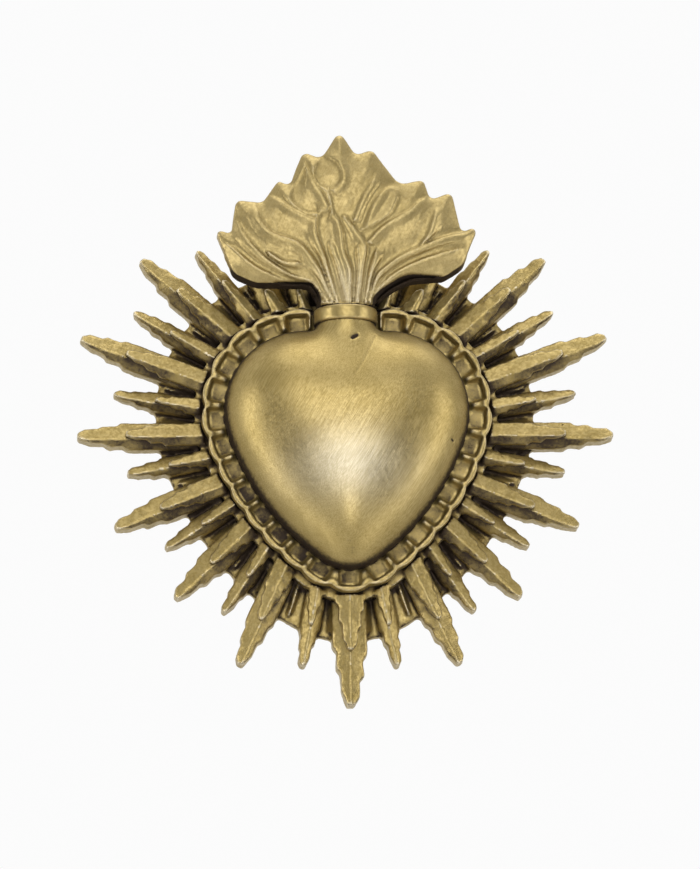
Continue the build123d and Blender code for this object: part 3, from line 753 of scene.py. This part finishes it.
def carve_leaves(mesh, flame):
    """Models the flame's front as overlapping leaves with a crest along each crease, and stores its painted
    shade on the underside and in the leaf hollows and its rubbed flutes, partly painted highlights.
    """
    points = points_of(mesh)
    normals = normals_of(mesh)
    trim_stem(points, flame)
    height = -points[:, 1]
    wall = (np.abs(normals[:, 1]) < RIM_FACING) & (np.abs(height - flame.edge + RIM_DROP) < RIM_BAND)
    rim = points[wall & (points[:, 2] > RIM_FOOT)]
    inward = front_distance(points, rim[:, (0, 2)])
    aside = distance_aside(points, [leaning(smooth_stroke(stops), flame.lean) for stops in CREASES])
    swell = flame.swell * settle(inward, flame.swell_reach)
    crest = flame.leaf_rise * bell(aside + CREST_SHIFT * flame.leaf_reach, flame.leaf_reach)
    hollow = np.where(aside > 0, bell(aside, HOLLOW_WIDTH * flame.leaf_reach), 0)
    leaf = (crest - flame.crease * hollow) * settle(inward, flame.leaf_reach)
    leaf *= np.clip(1 - (points[:, 2] - RELIEF_FOOT) / RELIEF_FADE, RELIEF_LEAST, 1)
    bevel = hem_share(points, flame)
    stem = ramp(STEM_TOP - points[:, 2], STEM_FADE) ** STEM_POWER
    stem *= np.sqrt(np.clip(1 - (points[:, 0] / STEM_HALF_WIDTH) ** 2, 0, 1))
    carved = flame.edge + swell + leaf + STEM_RISE * stem - BEVEL_DEPTH * bevel
    facing = ramp(-normals[:, 1] - FRONT_LEAST, FRONT_SPAN)
    facing *= height > flame.edge - FRONT_DROP
    facing = np.maximum(facing, height > flame.edge + FRONT_RISE)
    facing *= ramp(points[:, 2] - COLLAR_TOP, MM)
    points[:, 1] = -(height + (carved - height) * facing)
    down = ramp(-normals[:, 2] - DOWN_LEAST, DOWN_SPAN)
    hem = down * (np.abs(points[:, 2] - HEM_HEIGHT) < HEM_BAND)
    hem *= ramp(flame.edge - height, HEM_FADE)
    points[:, 2] -= flame.hem_drop * hem
    set_points(mesh, points)
    # Painted shade on the flame's underside, its bevel and under the stem, stored with the wax
    below = down * (1 - facing)
    below *= ramp(SIDE_SHADE_TOP - points[:, 2], SIDE_SHADE_FADE)
    under_stem = (height < flame.edge - STEM_SHADE_DROP) & (points[:, 2] > COLLAR_TOP + MM)
    under_stem = under_stem * ramp(STEM_SHADE_TOP - points[:, 2], STEM_SHADE_FADE)
    under_stem = np.maximum(under_stem, np.clip(BEVEL_PAINTED_SHADE * bevel, 0, 1))
    keep_value(mesh, "wax_and_shade", FLAME_PAINTED_SHADE * np.maximum(below, under_stem))
    # Painted shade in the hollows between the leaves
    keep_value(mesh, "painted_shade", facing * hollow)
    # Rubbed crests of the stem's flutes, partly wear and partly painted highlights
    flutes = ramp(FLUTE_TOP - points[:, 2], FLUTE_FADE) * crest / flame.leaf_rise
    flutes *= bell(points[:, 0], FLUTE_HALF_WIDTH)
    keep_value(mesh, "rub_and_highlight", facing * (FLAME_RUB + FLUTE_RUB_AND_HIGHLIGHT * flutes))


def ease_dome(mesh):
    """The heart's casting with its dome smoothed, and more so at the throat under the collar."""
    points = points_of(mesh)
    dome = ramp(NECK_FOOT - points[:, 2], NECK_FADE) * ramp(-points[:, 1] - DOME_FOOT, DOME_FADE)
    mesh = ease_mesh(mesh, DOME_EASING, dome)
    points = points_of(mesh)
    throat = np.exp(-((points[:, 0] / THROAT_HALF_WIDTH) ** 4))
    throat *= ramp(points[:, 2] - THROAT_FOOT, THROAT_FADE)
    return ease_mesh(mesh, THROAT_EASING, dome * throat)


def mark_heart(mesh):
    """Sinks the pit, scratches and speck into the heart, and stores the wax in its marks, its darkening round
    the foot, painted shade along the keel and in a band inside the lower outline, and the rubbed crown that
    is partly a painted highlight.
    """
    points = points_of(mesh)
    normals = normals_of(mesh)
    front = normals[:, 1] < HEART_FRONT
    wax_and_shade = np.zeros(len(points))
    sink = np.zeros(len(points))
    for stops, width, depth in HEART_MARKS:
        aside = front_distance(points, smooth_stroke(stops))
        mark = front * bell(aside, width * MM)
        sink = np.maximum(sink, depth * MM * mark)
        wax_and_shade = np.maximum(wax_and_shade, mark * min(MARK_WAX_MOST, MARK_WAX * depth))
    set_points(mesh, points - normals * sink[:, None])
    # Darker round the heart's foot
    foot = FOOT_DARKENING * ramp(FOOT_TOP + points[:, 1], FOOT_FADE)
    # Painted shade along the keel at the heart's tip, stored with the wax
    keel = bell(points[:, 0], KEEL_HALF_WIDTH) * ramp(KEEL_TOP - points[:, 2], KEEL_FADE)
    keep_value(mesh, "wax_and_shade", np.maximum(wax_and_shade, np.maximum(foot, KEEL_PAINTED_SHADE * keel)))
    # Painted shade: a dark band inside the heart's lower outline
    near_outline = np.abs(points[:, 1] + OUTLINE_HEIGHT) < OUTLINE_BAND
    outline = points[near_outline & (np.abs(normals[:, 1]) < OUTLINE_FACING)]
    inset = front_distance(points, outline[:, (0, 2)])
    lower = ramp(BAND_TOP - points[:, 2], BAND_FADE)
    keep_value(mesh, "painted_shade", PAINTED_BAND_SHADE * front * lower * bell(inset - BAND_INSET, BAND_WIDTH))
    # Rubbed crown, partly wear and partly a painted highlight: a pale patch low on the dome
    crown = ((points[:, 0] + CROWN_LEFT) / CROWN_HALF_WIDTH) ** 2
    crown += ((points[:, 2] + CROWN_DOWN) / CROWN_HALF_HEIGHT) ** 2
    keep_value(mesh, "rub_and_highlight", front * np.exp(-crown))


def wax_and_shade_lower_sides(mesh):
    """Leaves dark wax and painted shade on the facets of the rays that look down, in patches."""
    normals = normals_of(mesh)
    # Painted shade on facets that look down and to the front, together with dark wax in patches
    below = ramp(-normals[:, 2] - RAY_DOWN_LEAST, RAY_WAX_AND_SHADE_SPAN)
    below *= ramp(-normals[:, 1] - RAY_FRONT_LEAST, RAY_WAX_AND_SHADE_SPAN)
    patches = RAY_WAX_AND_SHADE + RAY_PATCH_SHARE * wander(points_of(mesh), RAY_PATCH, RAY_PATCH_PLACE)
    keep_value(mesh, "wax_and_shade", below * patches)


def soften_cups(mesh):
    """The frame's casting with wider ribs, rounded cups and dark wax in them, most at the lower left."""
    points = points_of(mesh)
    normals = normals_of(mesh)
    depth = RIB_TOP + points[:, 1]
    share = ramp(depth, CUP_DEPTH)
    points[:, 1] += CUP_DEPTH * (share - share**CUP_ROUNDING)
    set_points(mesh, points)
    reach = np.hypot(points[:, 0], points[:, 2])
    outward = (normals[:, 0] * points[:, 0] + normals[:, 2] * points[:, 2]) / reach
    borders = points[(share < RIB_SHARE) | (outward < INNER_WALL)]
    inside = front_distance(points, borders[:, (0, 2)])
    patches = 1.0 + CUP_PATCH_SHARE * wander(points, CUP_PATCH, CUP_PATCH_PLACE)
    low_left = ramp(-points[:, 0] - points[:, 2] - LOW_LEFT_START, LOW_LEFT_FADE)
    fill = (CUP_WAX + LOW_LEFT_WAX * low_left) * patches
    keep_value(mesh, "wax_and_shade", fill * (share > CUP_FLOOR) * ramp(inside - CUP_WAX_MARGIN, CUP_WAX_FADE))
    cups = np.clip(CUP_EASE_GAIN * share, 0, 1) * (outward < OUTER_WALL) * (normals[:, 1] < BACK_FACING)
    return ease_mesh(mesh, CUP_EASING, cups)


def thin_out(piece, triangles):
    """Leaves about this many triangles in a piece."""
    count = sum(len(face.vertices) - 2 for face in piece.data.polygons)
    if count <= triangles:
        return
    thinner = piece.modifiers.new("thin_out", "DECIMATE")
    thinner.ratio = triangles / count
    settled = piece.evaluated_get(bpy.context.evaluated_depsgraph_get())
    mesh = bpy.data.meshes.new_from_object(settled)
    piece.modifiers.clear()
    piece.data = mesh


def place_casting(name, mesh, node, material, triangles):
    """Puts a finished casting in place of its node."""
    keep_in_box(mesh, node)
    store_edges(mesh)
    mesh.name = name
    mesh.materials.clear()
    piece = bpy.data.objects.new(name, mesh)
    bpy.context.scene.collection.objects.link(piece)
    thin_out(piece, triangles)
    keep_in_box(piece.data, node)
    piece.data.materials.append(material)
    piece.data.shade_smooth()
    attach(piece, "ornament")
    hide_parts(node)


# Material helpers


class Finish:
    """Small wrapper that adds nodes to a material and links them."""

    def __init__(self, name):
        self.material = bpy.data.materials.new(name)
        self.material.use_nodes = True
        self.nodes = self.material.node_tree.nodes
        self.links = self.material.node_tree.links
        self.shader = self.nodes["Principled BSDF"]
        self.place = self.nodes.new("ShaderNodeTexCoord").outputs["Object"]

    def feed(self, socket, value):
        """Links an output to a socket, or sets a plain value on it."""
        if isinstance(value, bpy.types.NodeSocket):
            self.links.new(value, socket)
        else:
            socket.default_value = value

    def reckon(self, operation, *values):
        """Result of a math node."""
        node = self.nodes.new("ShaderNodeMath")
        node.operation = operation
        for socket, value in zip(node.inputs, values):
            self.feed(socket, value)
        return node.outputs["Value"]

    def span(self, value, low, high, start=0.0, end=1.0):
        """Value from low to high carried over smoothly to start and end."""
        node = self.nodes.new("ShaderNodeMapRange")
        node.interpolation_type = "SMOOTHSTEP"
        self.feed(node.inputs["Value"], value)
        node.inputs["From Min"].default_value = low
        node.inputs["From Max"].default_value = high
        node.inputs["To Min"].default_value = start
        node.inputs["To Max"].default_value = end
        return node.outputs["Result"]

    def grain(self, place, size, detail=3.0):
        """Noise with bumps of about this size in metres."""
        node = self.nodes.new("ShaderNodeTexNoise")
        self.feed(node.inputs["Vector"], place)
        node.inputs["Scale"].default_value = 1.0 / size
        node.inputs["Detail"].default_value = detail
        node.inputs["Roughness"].default_value = GRAIN_ROUGHNESS
        return node.outputs["Fac"]

    def strokes(self, angle, width, length):
        """Noise drawn out along a line at this angle across the front."""
        turn = self.nodes.new("ShaderNodeVectorRotate")
        turn.rotation_type = "Y_AXIS"
        self.feed(turn.inputs["Vector"], self.place)
        turn.inputs["Angle"].default_value = angle
        stretch = self.nodes.new("ShaderNodeVectorMath")
        stretch.operation = "MULTIPLY"
        self.feed(stretch.inputs[0], turn.outputs["Vector"])
        stretch.inputs[1].default_value = (1.0, 1.0, width / length)
        return self.grain(stretch.outputs["Vector"], width, STROKE_DETAIL)

    def blend(self, share, one, other):
        """Colour between two colours."""
        node = self.nodes.new("ShaderNodeMix")
        node.data_type = "RGBA"
        self.feed(node.inputs["Factor"], share)
        self.feed(node.inputs["A"], one)
        self.feed(node.inputs["B"], other)
        return node.outputs["Result"]

    def hollows(self, reach):
        """How open the surface is, from 0 deep in a hollow to 1 in the open."""
        node = self.nodes.new("ShaderNodeAmbientOcclusion")
        node.samples = HOLLOW_SAMPLES
        node.inputs["Distance"].default_value = reach
        return node.outputs["AO"]

    def stored(self, name):
        """Number stored on the vertices under this name."""
        node = self.nodes.new("ShaderNodeAttribute")
        node.attribute_name = name
        return node.outputs["Fac"]

    def bumps(self, height, depth):
        """Normal of a surface with this relief."""
        node = self.nodes.new("ShaderNodeBump")
        self.feed(node.inputs["Height"], height)
        node.inputs["Distance"].default_value = depth
        return node.outputs["Normal"]

    def socket(self, name, value):
        """Sets or links one socket of the shader."""
        self.feed(self.shader.inputs[name], value)


def solid(colour):
    """A colour with full opacity, as a colour socket takes it."""
    return (colour[0], colour[1], colour[2], 1.0)


def darker(colour, share):
    """A colour brought down to this share of its brightness."""
    return tuple(share * part for part in colour)


def antique_brass(name, stroke_angle, stroke_share, hollow_reach, gloss, edge_share, grain_share):
    """Rubbed brass with brush strokes, olive clouds, bright edges and dark wax in the hollows, with the
    painted shade and painted highlights stored on the vertices.
    """
    colours = bpy.context.scene.ornament_finish
    finish = Finish(name)
    clouds = finish.grain(finish.place, CLOUD_SIZE)
    mottle = finish.grain(finish.place, MOTTLE_SIZE)
    strokes = finish.strokes(stroke_angle, STROKE_WIDTH, STROKE_LENGTH)
    cloudy = finish.span(clouds, *CLOUD_SPAN, end=CLOUD_DULLING)
    mottled = finish.span(mottle, *MOTTLE_SPAN)
    brushed = finish.span(strokes, *STROKE_SPAN)
    # The stored painted shade dulls the brass towards olive
    dull = finish.reckon("MULTIPLY_ADD", finish.stored("painted_shade"), PAINTED_SHADE_DULLING, cloudy)
    dull = finish.reckon("MULTIPLY_ADD", mottled, MOTTLE_DULLING * grain_share, dull)
    dull = finish.reckon("MULTIPLY_ADD", brushed, stroke_share, dull)
    base = finish.blend(dull, solid(colours.brass), solid(colours.olive))
    # Rubbed places go pale; on the heart's crown and the stem's flutes this is partly a painted highlight
    rub_and_highlight = finish.reckon("MULTIPLY", finish.stored("rub_and_highlight"), finish.span(strokes, *RUB_AND_HIGHLIGHT_SPAN, *RUB_AND_HIGHLIGHT_SHARES))
    base = finish.blend(rub_and_highlight, base, solid(colours.worn_and_highlight))
    edge = finish.stored("edge")
    rubbed = finish.reckon("MULTIPLY", finish.span(edge, *EDGE_SPAN), edge_share)
    base = finish.blend(rubbed, base, solid(colours.worn_and_highlight))
    # Dark wax in the hollows, with the stored wax and painted shade, in the patina colour
    open_face = finish.reckon("MULTIPLY_ADD", finish.stored("wax_and_shade"), WAX_AND_SHADE_COVER, finish.hollows(hollow_reach))
    crease = finish.span(edge, *CREASE_SPAN, end=edge_share)
    open_face = finish.reckon("MULTIPLY_ADD", crease, CREASE_COVER, open_face)
    broken = finish.reckon("MULTIPLY_ADD", mottle, MOTTLE_BREAK, open_face)
    wax_and_shade = finish.span(broken, *COVER_SPAN)
    base = finish.blend(wax_and_shade, base, solid(colours.patina_and_shade))
    finish.socket("Base Color", base)
    sheen = finish.span(mottle, *GLOSS_SPAN, gloss, gloss + GLOSS_SPREAD)
    finish.socket("Roughness", finish.reckon("MULTIPLY_ADD", wax_and_shade, WAX_AND_SHADE_MATT, sheen))
    relief = finish.reckon("MULTIPLY", mottle, grain_share)
    relief = finish.reckon("MULTIPLY_ADD", strokes, stroke_share, relief)
    finish.socket("Normal", finish.bumps(relief, RELIEF_DEPTH))
    finish.socket("Metallic", BRASS_METAL)
    return finish.material


def plain_brass(name):
    """Bare brass with fine drawing lines and a little dulling."""
    colour = bpy.context.scene.ornament_finish.plain_brass
    finish = Finish(name)
    clouds = finish.span(finish.grain(finish.place, PLAIN_CLOUD_SIZE), *PLAIN_CLOUD_SPAN)
    lines = finish.strokes(angle=0.0, width=LINE_WIDTH, length=LINE_LENGTH)
    dull = darker(colour, PLAIN_DULLING)
    finish.socket("Base Color", finish.blend(clouds, solid(colour), solid(dull)))
    finish.socket("Roughness", finish.span(lines, *LINE_SPAN, *PLAIN_ROUGHNESS))
    finish.socket("Normal", finish.bumps(lines, LINE_DEPTH))
    finish.socket("Metallic", 1.0)
    return finish.material


def zinc_steel(name):
    """Zinc-coated steel with a faint spangle."""
    colour = bpy.context.scene.ornament_finish.steel
    finish = Finish(name)
    spangle = finish.grain(finish.place, SPANGLE_SIZE, SPANGLE_DETAIL)
    dark = darker(colour, SPANGLE_DARKENING)
    finish.socket("Base Color", finish.blend(finish.span(spangle, *SPANGLE_SPAN), solid(colour), solid(dark)))
    finish.socket("Roughness", finish.span(spangle, *STEEL_GLOSS_SPAN, *STEEL_ROUGHNESS))
    finish.socket("Normal", finish.bumps(finish.grain(finish.place, STEEL_GRAIN), STEEL_DEPTH))
    finish.socket("Metallic", 1.0)
    return finish.material


def dress_node(node, material, bevel):
    """Gives a node that stays as drawn eased edges and its material."""
    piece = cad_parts[node]
    piece.data.materials.clear()
    piece.data.materials.append(material)
    ease = piece.modifiers.new("eased_edges", "BEVEL")
    ease.width = bevel
    ease.segments = BEVEL_SEGMENTS
    ease.limit_method = "ANGLE"
    ease.angle_limit = SHARP_EDGE


# Pieces


class ORNAMENT_OT_rays(bpy.types.Operator):
    """Make the two tiers of ragged rays"""

    bl_idname = "ornament.rays"
    bl_label = "Rays"

    def execute(self, context):
        casting = context.scene.ornament_casting
        material = antique_brass(
            "ray_brass",
            stroke_angle=0.0,
            stroke_share=0.2,
            hollow_reach=3 * MM,
            gloss=0.36,
            edge_share=0.7,
            grain_share=1.6,
        )
        for node in ("rear_rays", "front_rays"):
            mesh = cast_mesh(node, casting.ray_grain, RAY_EASING)
            weather(mesh, casting.wobble, RAY_WAVE)
            wax_and_shade_lower_sides(mesh)
            place_casting("cast_" + node, mesh, node, material, RAY_TRIANGLES)
        return {"FINISHED"}


class ORNAMENT_OT_frame(bpy.types.Operator):
    """Make the scalloped frame with its cups"""

    bl_idname = "ornament.frame"
    bl_label = "Scalloped frame"

    def execute(self, context):
        casting = context.scene.ornament_casting
        material = antique_brass(
            "frame_brass",
            stroke_angle=0.0,
            stroke_share=0.1,
            hollow_reach=0.7 * MM,
            gloss=0.36,
            edge_share=0.45,
            grain_share=1.2,
        )
        mesh = cast_mesh("scalloped_frame", casting.frame_grain, FRAME_EASING)
        mesh = ease_mesh(soften_cups(mesh), FRAME_LAST_EASING)
        weather(mesh, casting.wobble * FRAME_WOBBLE, FRAME_WAVE)
        place_casting("cast_frame", mesh, "scalloped_frame", material, FRAME_TRIANGLES)
        return {"FINISHED"}


class ORNAMENT_OT_heart(bpy.types.Operator):
    """Make the domed heart and the collar round its neck"""

    bl_idname = "ornament.heart"
    bl_label = "Heart and collar"

    def execute(self, context):
        casting = context.scene.ornament_casting
        self.heart(casting)
        self.collar(casting)
        return {"FINISHED"}

    def heart(self, casting):
        """The brushed dome with its marks."""
        material = antique_brass(
            "heart_brass",
            stroke_angle=math.radians(-32.0),
            stroke_share=0.7,
            hollow_reach=5 * MM,
            gloss=0.34,
            edge_share=0.5,
            grain_share=0.25,
        )
        mesh = ease_dome(cast_mesh("heart_shell", casting.heart_grain, HEART_EASING))
        weather(mesh, casting.wobble * HEART_WOBBLE, HEART_WAVE)
        mark_heart(mesh)
        place_casting("cast_heart", mesh, "heart_shell", material, HEART_TRIANGLES)

    def collar(self, casting):
        """The band over the seam between the neck and the flame."""
        material = antique_brass(
            "collar_brass",
            stroke_angle=0.0,
            stroke_share=0.1,
            hollow_reach=3 * MM,
            gloss=0.34,
            edge_share=0.4,
            grain_share=0.6,
        )
        mesh = cast_mesh("neck_collar", casting.frame_grain, COLLAR_EASING)
        weather(mesh, casting.wobble * COLLAR_WOBBLE, COLLAR_WAVE)
        place_casting("cast_collar", mesh, "neck_collar", material, COLLAR_TRIANGLES)


class ORNAMENT_OT_flame(bpy.types.Operator):
    """Make the flame with its leaf-like tongues"""

    bl_idname = "ornament.flame"
    bl_label = "Flame"

    def execute(self, context):
        casting = context.scene.ornament_casting
        material = antique_brass(
            "flame_brass",
            stroke_angle=math.radians(-25.0),
            stroke_share=0.25,
            hollow_reach=1.8 * MM,
            gloss=0.36,
            edge_share=0.35,
            grain_share=1.0,
        )
        mesh = cast_mesh("flame_crown", casting.flame_grain, FLAME_EASING)
        carve_leaves(mesh, context.scene.ornament_flame)
        mesh = ease_mesh(mesh, LEAF_EASING)
        weather(mesh, casting.wobble * FLAME_WOBBLE, FLAME_WAVE)
        place_casting("cast_flame", mesh, "flame_crown", material, FLAME_TRIANGLES)
        return {"FINISHED"}


class ORNAMENT_OT_fixings(bpy.types.Operator):
    """Dress the screws and washers behind the plate"""

    bl_idname = "ornament.fixings"
    bl_label = "Screws and washers"

    def execute(self, context):
        steel = zinc_steel("screw_steel")
        brass = plain_brass("washer_brass")
        for node in ("heart_screws", "flame_screws", "hanger_screws"):
            dress_node(node, steel, SCREW_BEVEL)
        for node in ("heart_washers", "flame_washers"):
            dress_node(node, brass, WASHER_BEVEL)
        return {"FINISHED"}


class ORNAMENT_OT_hanger(bpy.types.Operator):
    """Dress the strap and the ring that the ornament hangs from"""

    bl_idname = "ornament.hanger"
    bl_label = "Hanger"

    def execute(self, context):
        brass = plain_brass("hanger_brass")
        dress_node("hanger_strap", brass, STRAP_BEVEL)
        dress_node("hanging_ring", brass, RING_BEVEL)
        return {"FINISHED"}


# Stage


def area_light(name, place, aim, width, height, power):
    """A soft rectangular lamp that faces a point."""
    lamp = bpy.data.lights.new(name, "AREA")
    lamp.shape = "RECTANGLE"
    lamp.size = width
    lamp.size_y = height
    lamp.energy = power
    light = bpy.data.objects.new(name, lamp)
    light.location = place
    light.visible_camera = False
    light.rotation_euler = (Vector(aim) - Vector(place)).to_track_quat("-Z", "Y").to_euler()
    bpy.context.scene.collection.objects.link(light)


class ORNAMENT_OT_stage(bpy.types.Operator):
    """Set the pale surroundings, the lamps and the camera"""

    bl_idname = "ornament.stage"
    bl_label = "Stage"

    def execute(self, context):
        scene = context.scene
        stage = scene.ornament_stage
        scene.view_settings.view_transform = "Standard"
        self.pale_world(scene)
        self.pale_floor(scene, stage)
        self.lamps()
        self.camera(scene, stage)
        return {"FINISHED"}

    def pale_world(self, scene):
        """A white backdrop for the camera and the metal, in a dim room with a pale ceiling."""
        world = bpy.data.worlds.new("pale_studio")
        world.use_nodes = True
        nodes = world.node_tree.nodes
        links = world.node_tree.links

        def fade(value, low, high, most):
            """Rises smoothly from zero to most while the value goes from low to high."""
            node = nodes.new("ShaderNodeMapRange")
            node.interpolation_type = "SMOOTHSTEP"
            links.new(value, node.inputs["Value"])
            node.inputs["From Min"].default_value = low
            node.inputs["From Max"].default_value = high
            node.inputs["To Max"].default_value = most
            return node.outputs["Result"]

        def both(operation, one, other):
            """Result of a math node on two outputs."""
            node = nodes.new("ShaderNodeMath")
            node.operation = operation
            links.new(one, node.inputs[0])
            links.new(other, node.inputs[1])
            return node.outputs["Value"]

        way = nodes.new("ShaderNodeSeparateXYZ")
        links.new(nodes.new("ShaderNodeTexCoord").outputs["Generated"], way.inputs["Vector"])
        path = nodes.new("ShaderNodeLightPath")
        mirrored = both("MAXIMUM", path.outputs["Is Glossy Ray"], path.outputs["Is Transmission Ray"])
        backdrop = both("MULTIPLY", mirrored, fade(way.outputs["Y"], low=0.0, high=0.25, most=1.0))
        ceiling = fade(way.outputs["Z"], low=0.1, high=0.9, most=0.6)
        wall = fade(way.outputs["Y"], low=-1.0, high=0.5, most=0.5)
        room = both("ADD", ceiling, wall)
        seen = both("MAXIMUM", path.outputs["Is Camera Ray"], backdrop)
        background = nodes["Background"]
        background.inputs["Color"].default_value = STUDIO_WHITE
        links.new(both("MAXIMUM", room, seen), background.inputs["Strength"])
        scene.world = world

    def pale_floor(self, scene, stage):
        """A wide pale floor far below the ornament."""
        mesh = bpy.data.meshes.new("floor")
        side = FLOOR_HALF_SIDE
        drop = -stage.floor_drop
        corners = [(-side, -side, drop), (side, -side, drop), (side, side, drop), (-side, side, drop)]
        mesh.from_pydata(corners, [], [(0, 1, 2, 3)])
        floor = bpy.data.objects.new("floor", mesh)
        scene.collection.objects.link(floor)
        finish = Finish("pale_floor")
        finish.socket("Base Color", FLOOR_GREY)
        finish.socket("Roughness", FLOOR_ROUGHNESS)
        mesh.materials.append(finish.material)

    def lamps(self):
        """A lamp low in front, softer ones above, and pairs at both sides and close below."""
        aim = (0.0, 0.0, 0.0)
        area_light("front_lamp", (0.02, -1.35, -0.42), aim, width=0.9, height=0.35, power=4.9)
        area_light("upper_lamp", (0.0, -1.3, 0.46), aim, width=0.9, height=0.8, power=7.2)
        area_light("top_lamp", (0.15, -0.25, 1.1), aim, width=1.2, height=0.5, power=4.6)
        for side, power in ((-1, 4.3), (1, 3.8)):
            area_light("side_lamp", (side * 0.95, -0.45, 0.0), aim, width=0.35, height=0.9, power=power)
            area_light("low_lamp", (side * 0.33, -0.22, -0.36), aim, width=0.12, height=0.3, power=0.2)

    def camera(self, scene, stage):
        """The camera low in front, with a long lens."""
        lens = bpy.data.cameras.new("camera")
        lens.sensor_fit = "VERTICAL"
        lens.sensor_height = SENSOR_HEIGHT
        lens.lens = lens.sensor_height * stage.distance / stage.view_height
        turn = stage.azimuth
        rise = stage.elevation
        away = Vector((math.sin(turn) * math.cos(rise), -math.cos(turn) * math.cos(rise), math.sin(rise)))
        right = Vector((math.cos(turn), math.sin(turn), 0.0))
        up = right.cross(-away)
        aim = right * AIM_RIGHT * MM + up * AIM_UP * MM
        camera = bpy.data.objects.new("camera", lens)
        camera.location = aim + away * stage.distance
        facing = (-away).to_track_quat("-Z", "Y") @ Quaternion((0.0, 0.0, 1.0), stage.roll)
        camera.rotation_euler = facing.to_euler()
        scene.collection.objects.link(camera)
        scene.camera = camera


class ORNAMENT_PT_panel(bpy.types.Panel):
    """Lists the sizes, the colours and the pieces of the ornament"""

    bl_idname = "ORNAMENT_PT_panel"
    bl_label = "Flaming heart ornament"
    bl_space_type = "VIEW_3D"
    bl_region_type = "UI"
    bl_category = "Ornament"

    def draw(self, context):
        scene = context.scene
        groups = (scene.ornament_casting, scene.ornament_flame, scene.ornament_finish, scene.ornament_stage)
        for group in groups:
            for name in group.__annotations__:
                self.layout.prop(group, name)
        for operator in OPERATORS:
            self.layout.operator(operator.bl_idname)


GROUPS = (OrnamentCasting, OrnamentFlame, OrnamentFinish, OrnamentStage)
OPERATORS = (
    ORNAMENT_OT_rays,
    ORNAMENT_OT_frame,
    ORNAMENT_OT_heart,
    ORNAMENT_OT_flame,
    ORNAMENT_OT_fixings,
    ORNAMENT_OT_hanger,
    ORNAMENT_OT_stage,
)
CLASSES = GROUPS + OPERATORS + (ORNAMENT_PT_panel,)


def register():
    for each in CLASSES:
        bpy.utils.register_class(each)
    bpy.types.Scene.ornament_casting = bpy.props.PointerProperty(type=OrnamentCasting)
    bpy.types.Scene.ornament_flame = bpy.props.PointerProperty(type=OrnamentFlame)
    bpy.types.Scene.ornament_finish = bpy.props.PointerProperty(type=OrnamentFinish)
    bpy.types.Scene.ornament_stage = bpy.props.PointerProperty(type=OrnamentStage)


def unregister():
    del bpy.types.Scene.ornament_stage
    del bpy.types.Scene.ornament_finish
    del bpy.types.Scene.ornament_flame
    del bpy.types.Scene.ornament_casting
    for each in reversed(CLASSES):
        bpy.utils.unregister_class(each)


def main():
    register()
    bpy.ops.ornament.rays()
    bpy.ops.ornament.frame()
    bpy.ops.ornament.heart()
    bpy.ops.ornament.flame()
    bpy.ops.ornament.fixings()
    bpy.ops.ornament.hanger()
    bpy.ops.ornament.stage()


if __name__ == "__main__":
    main()
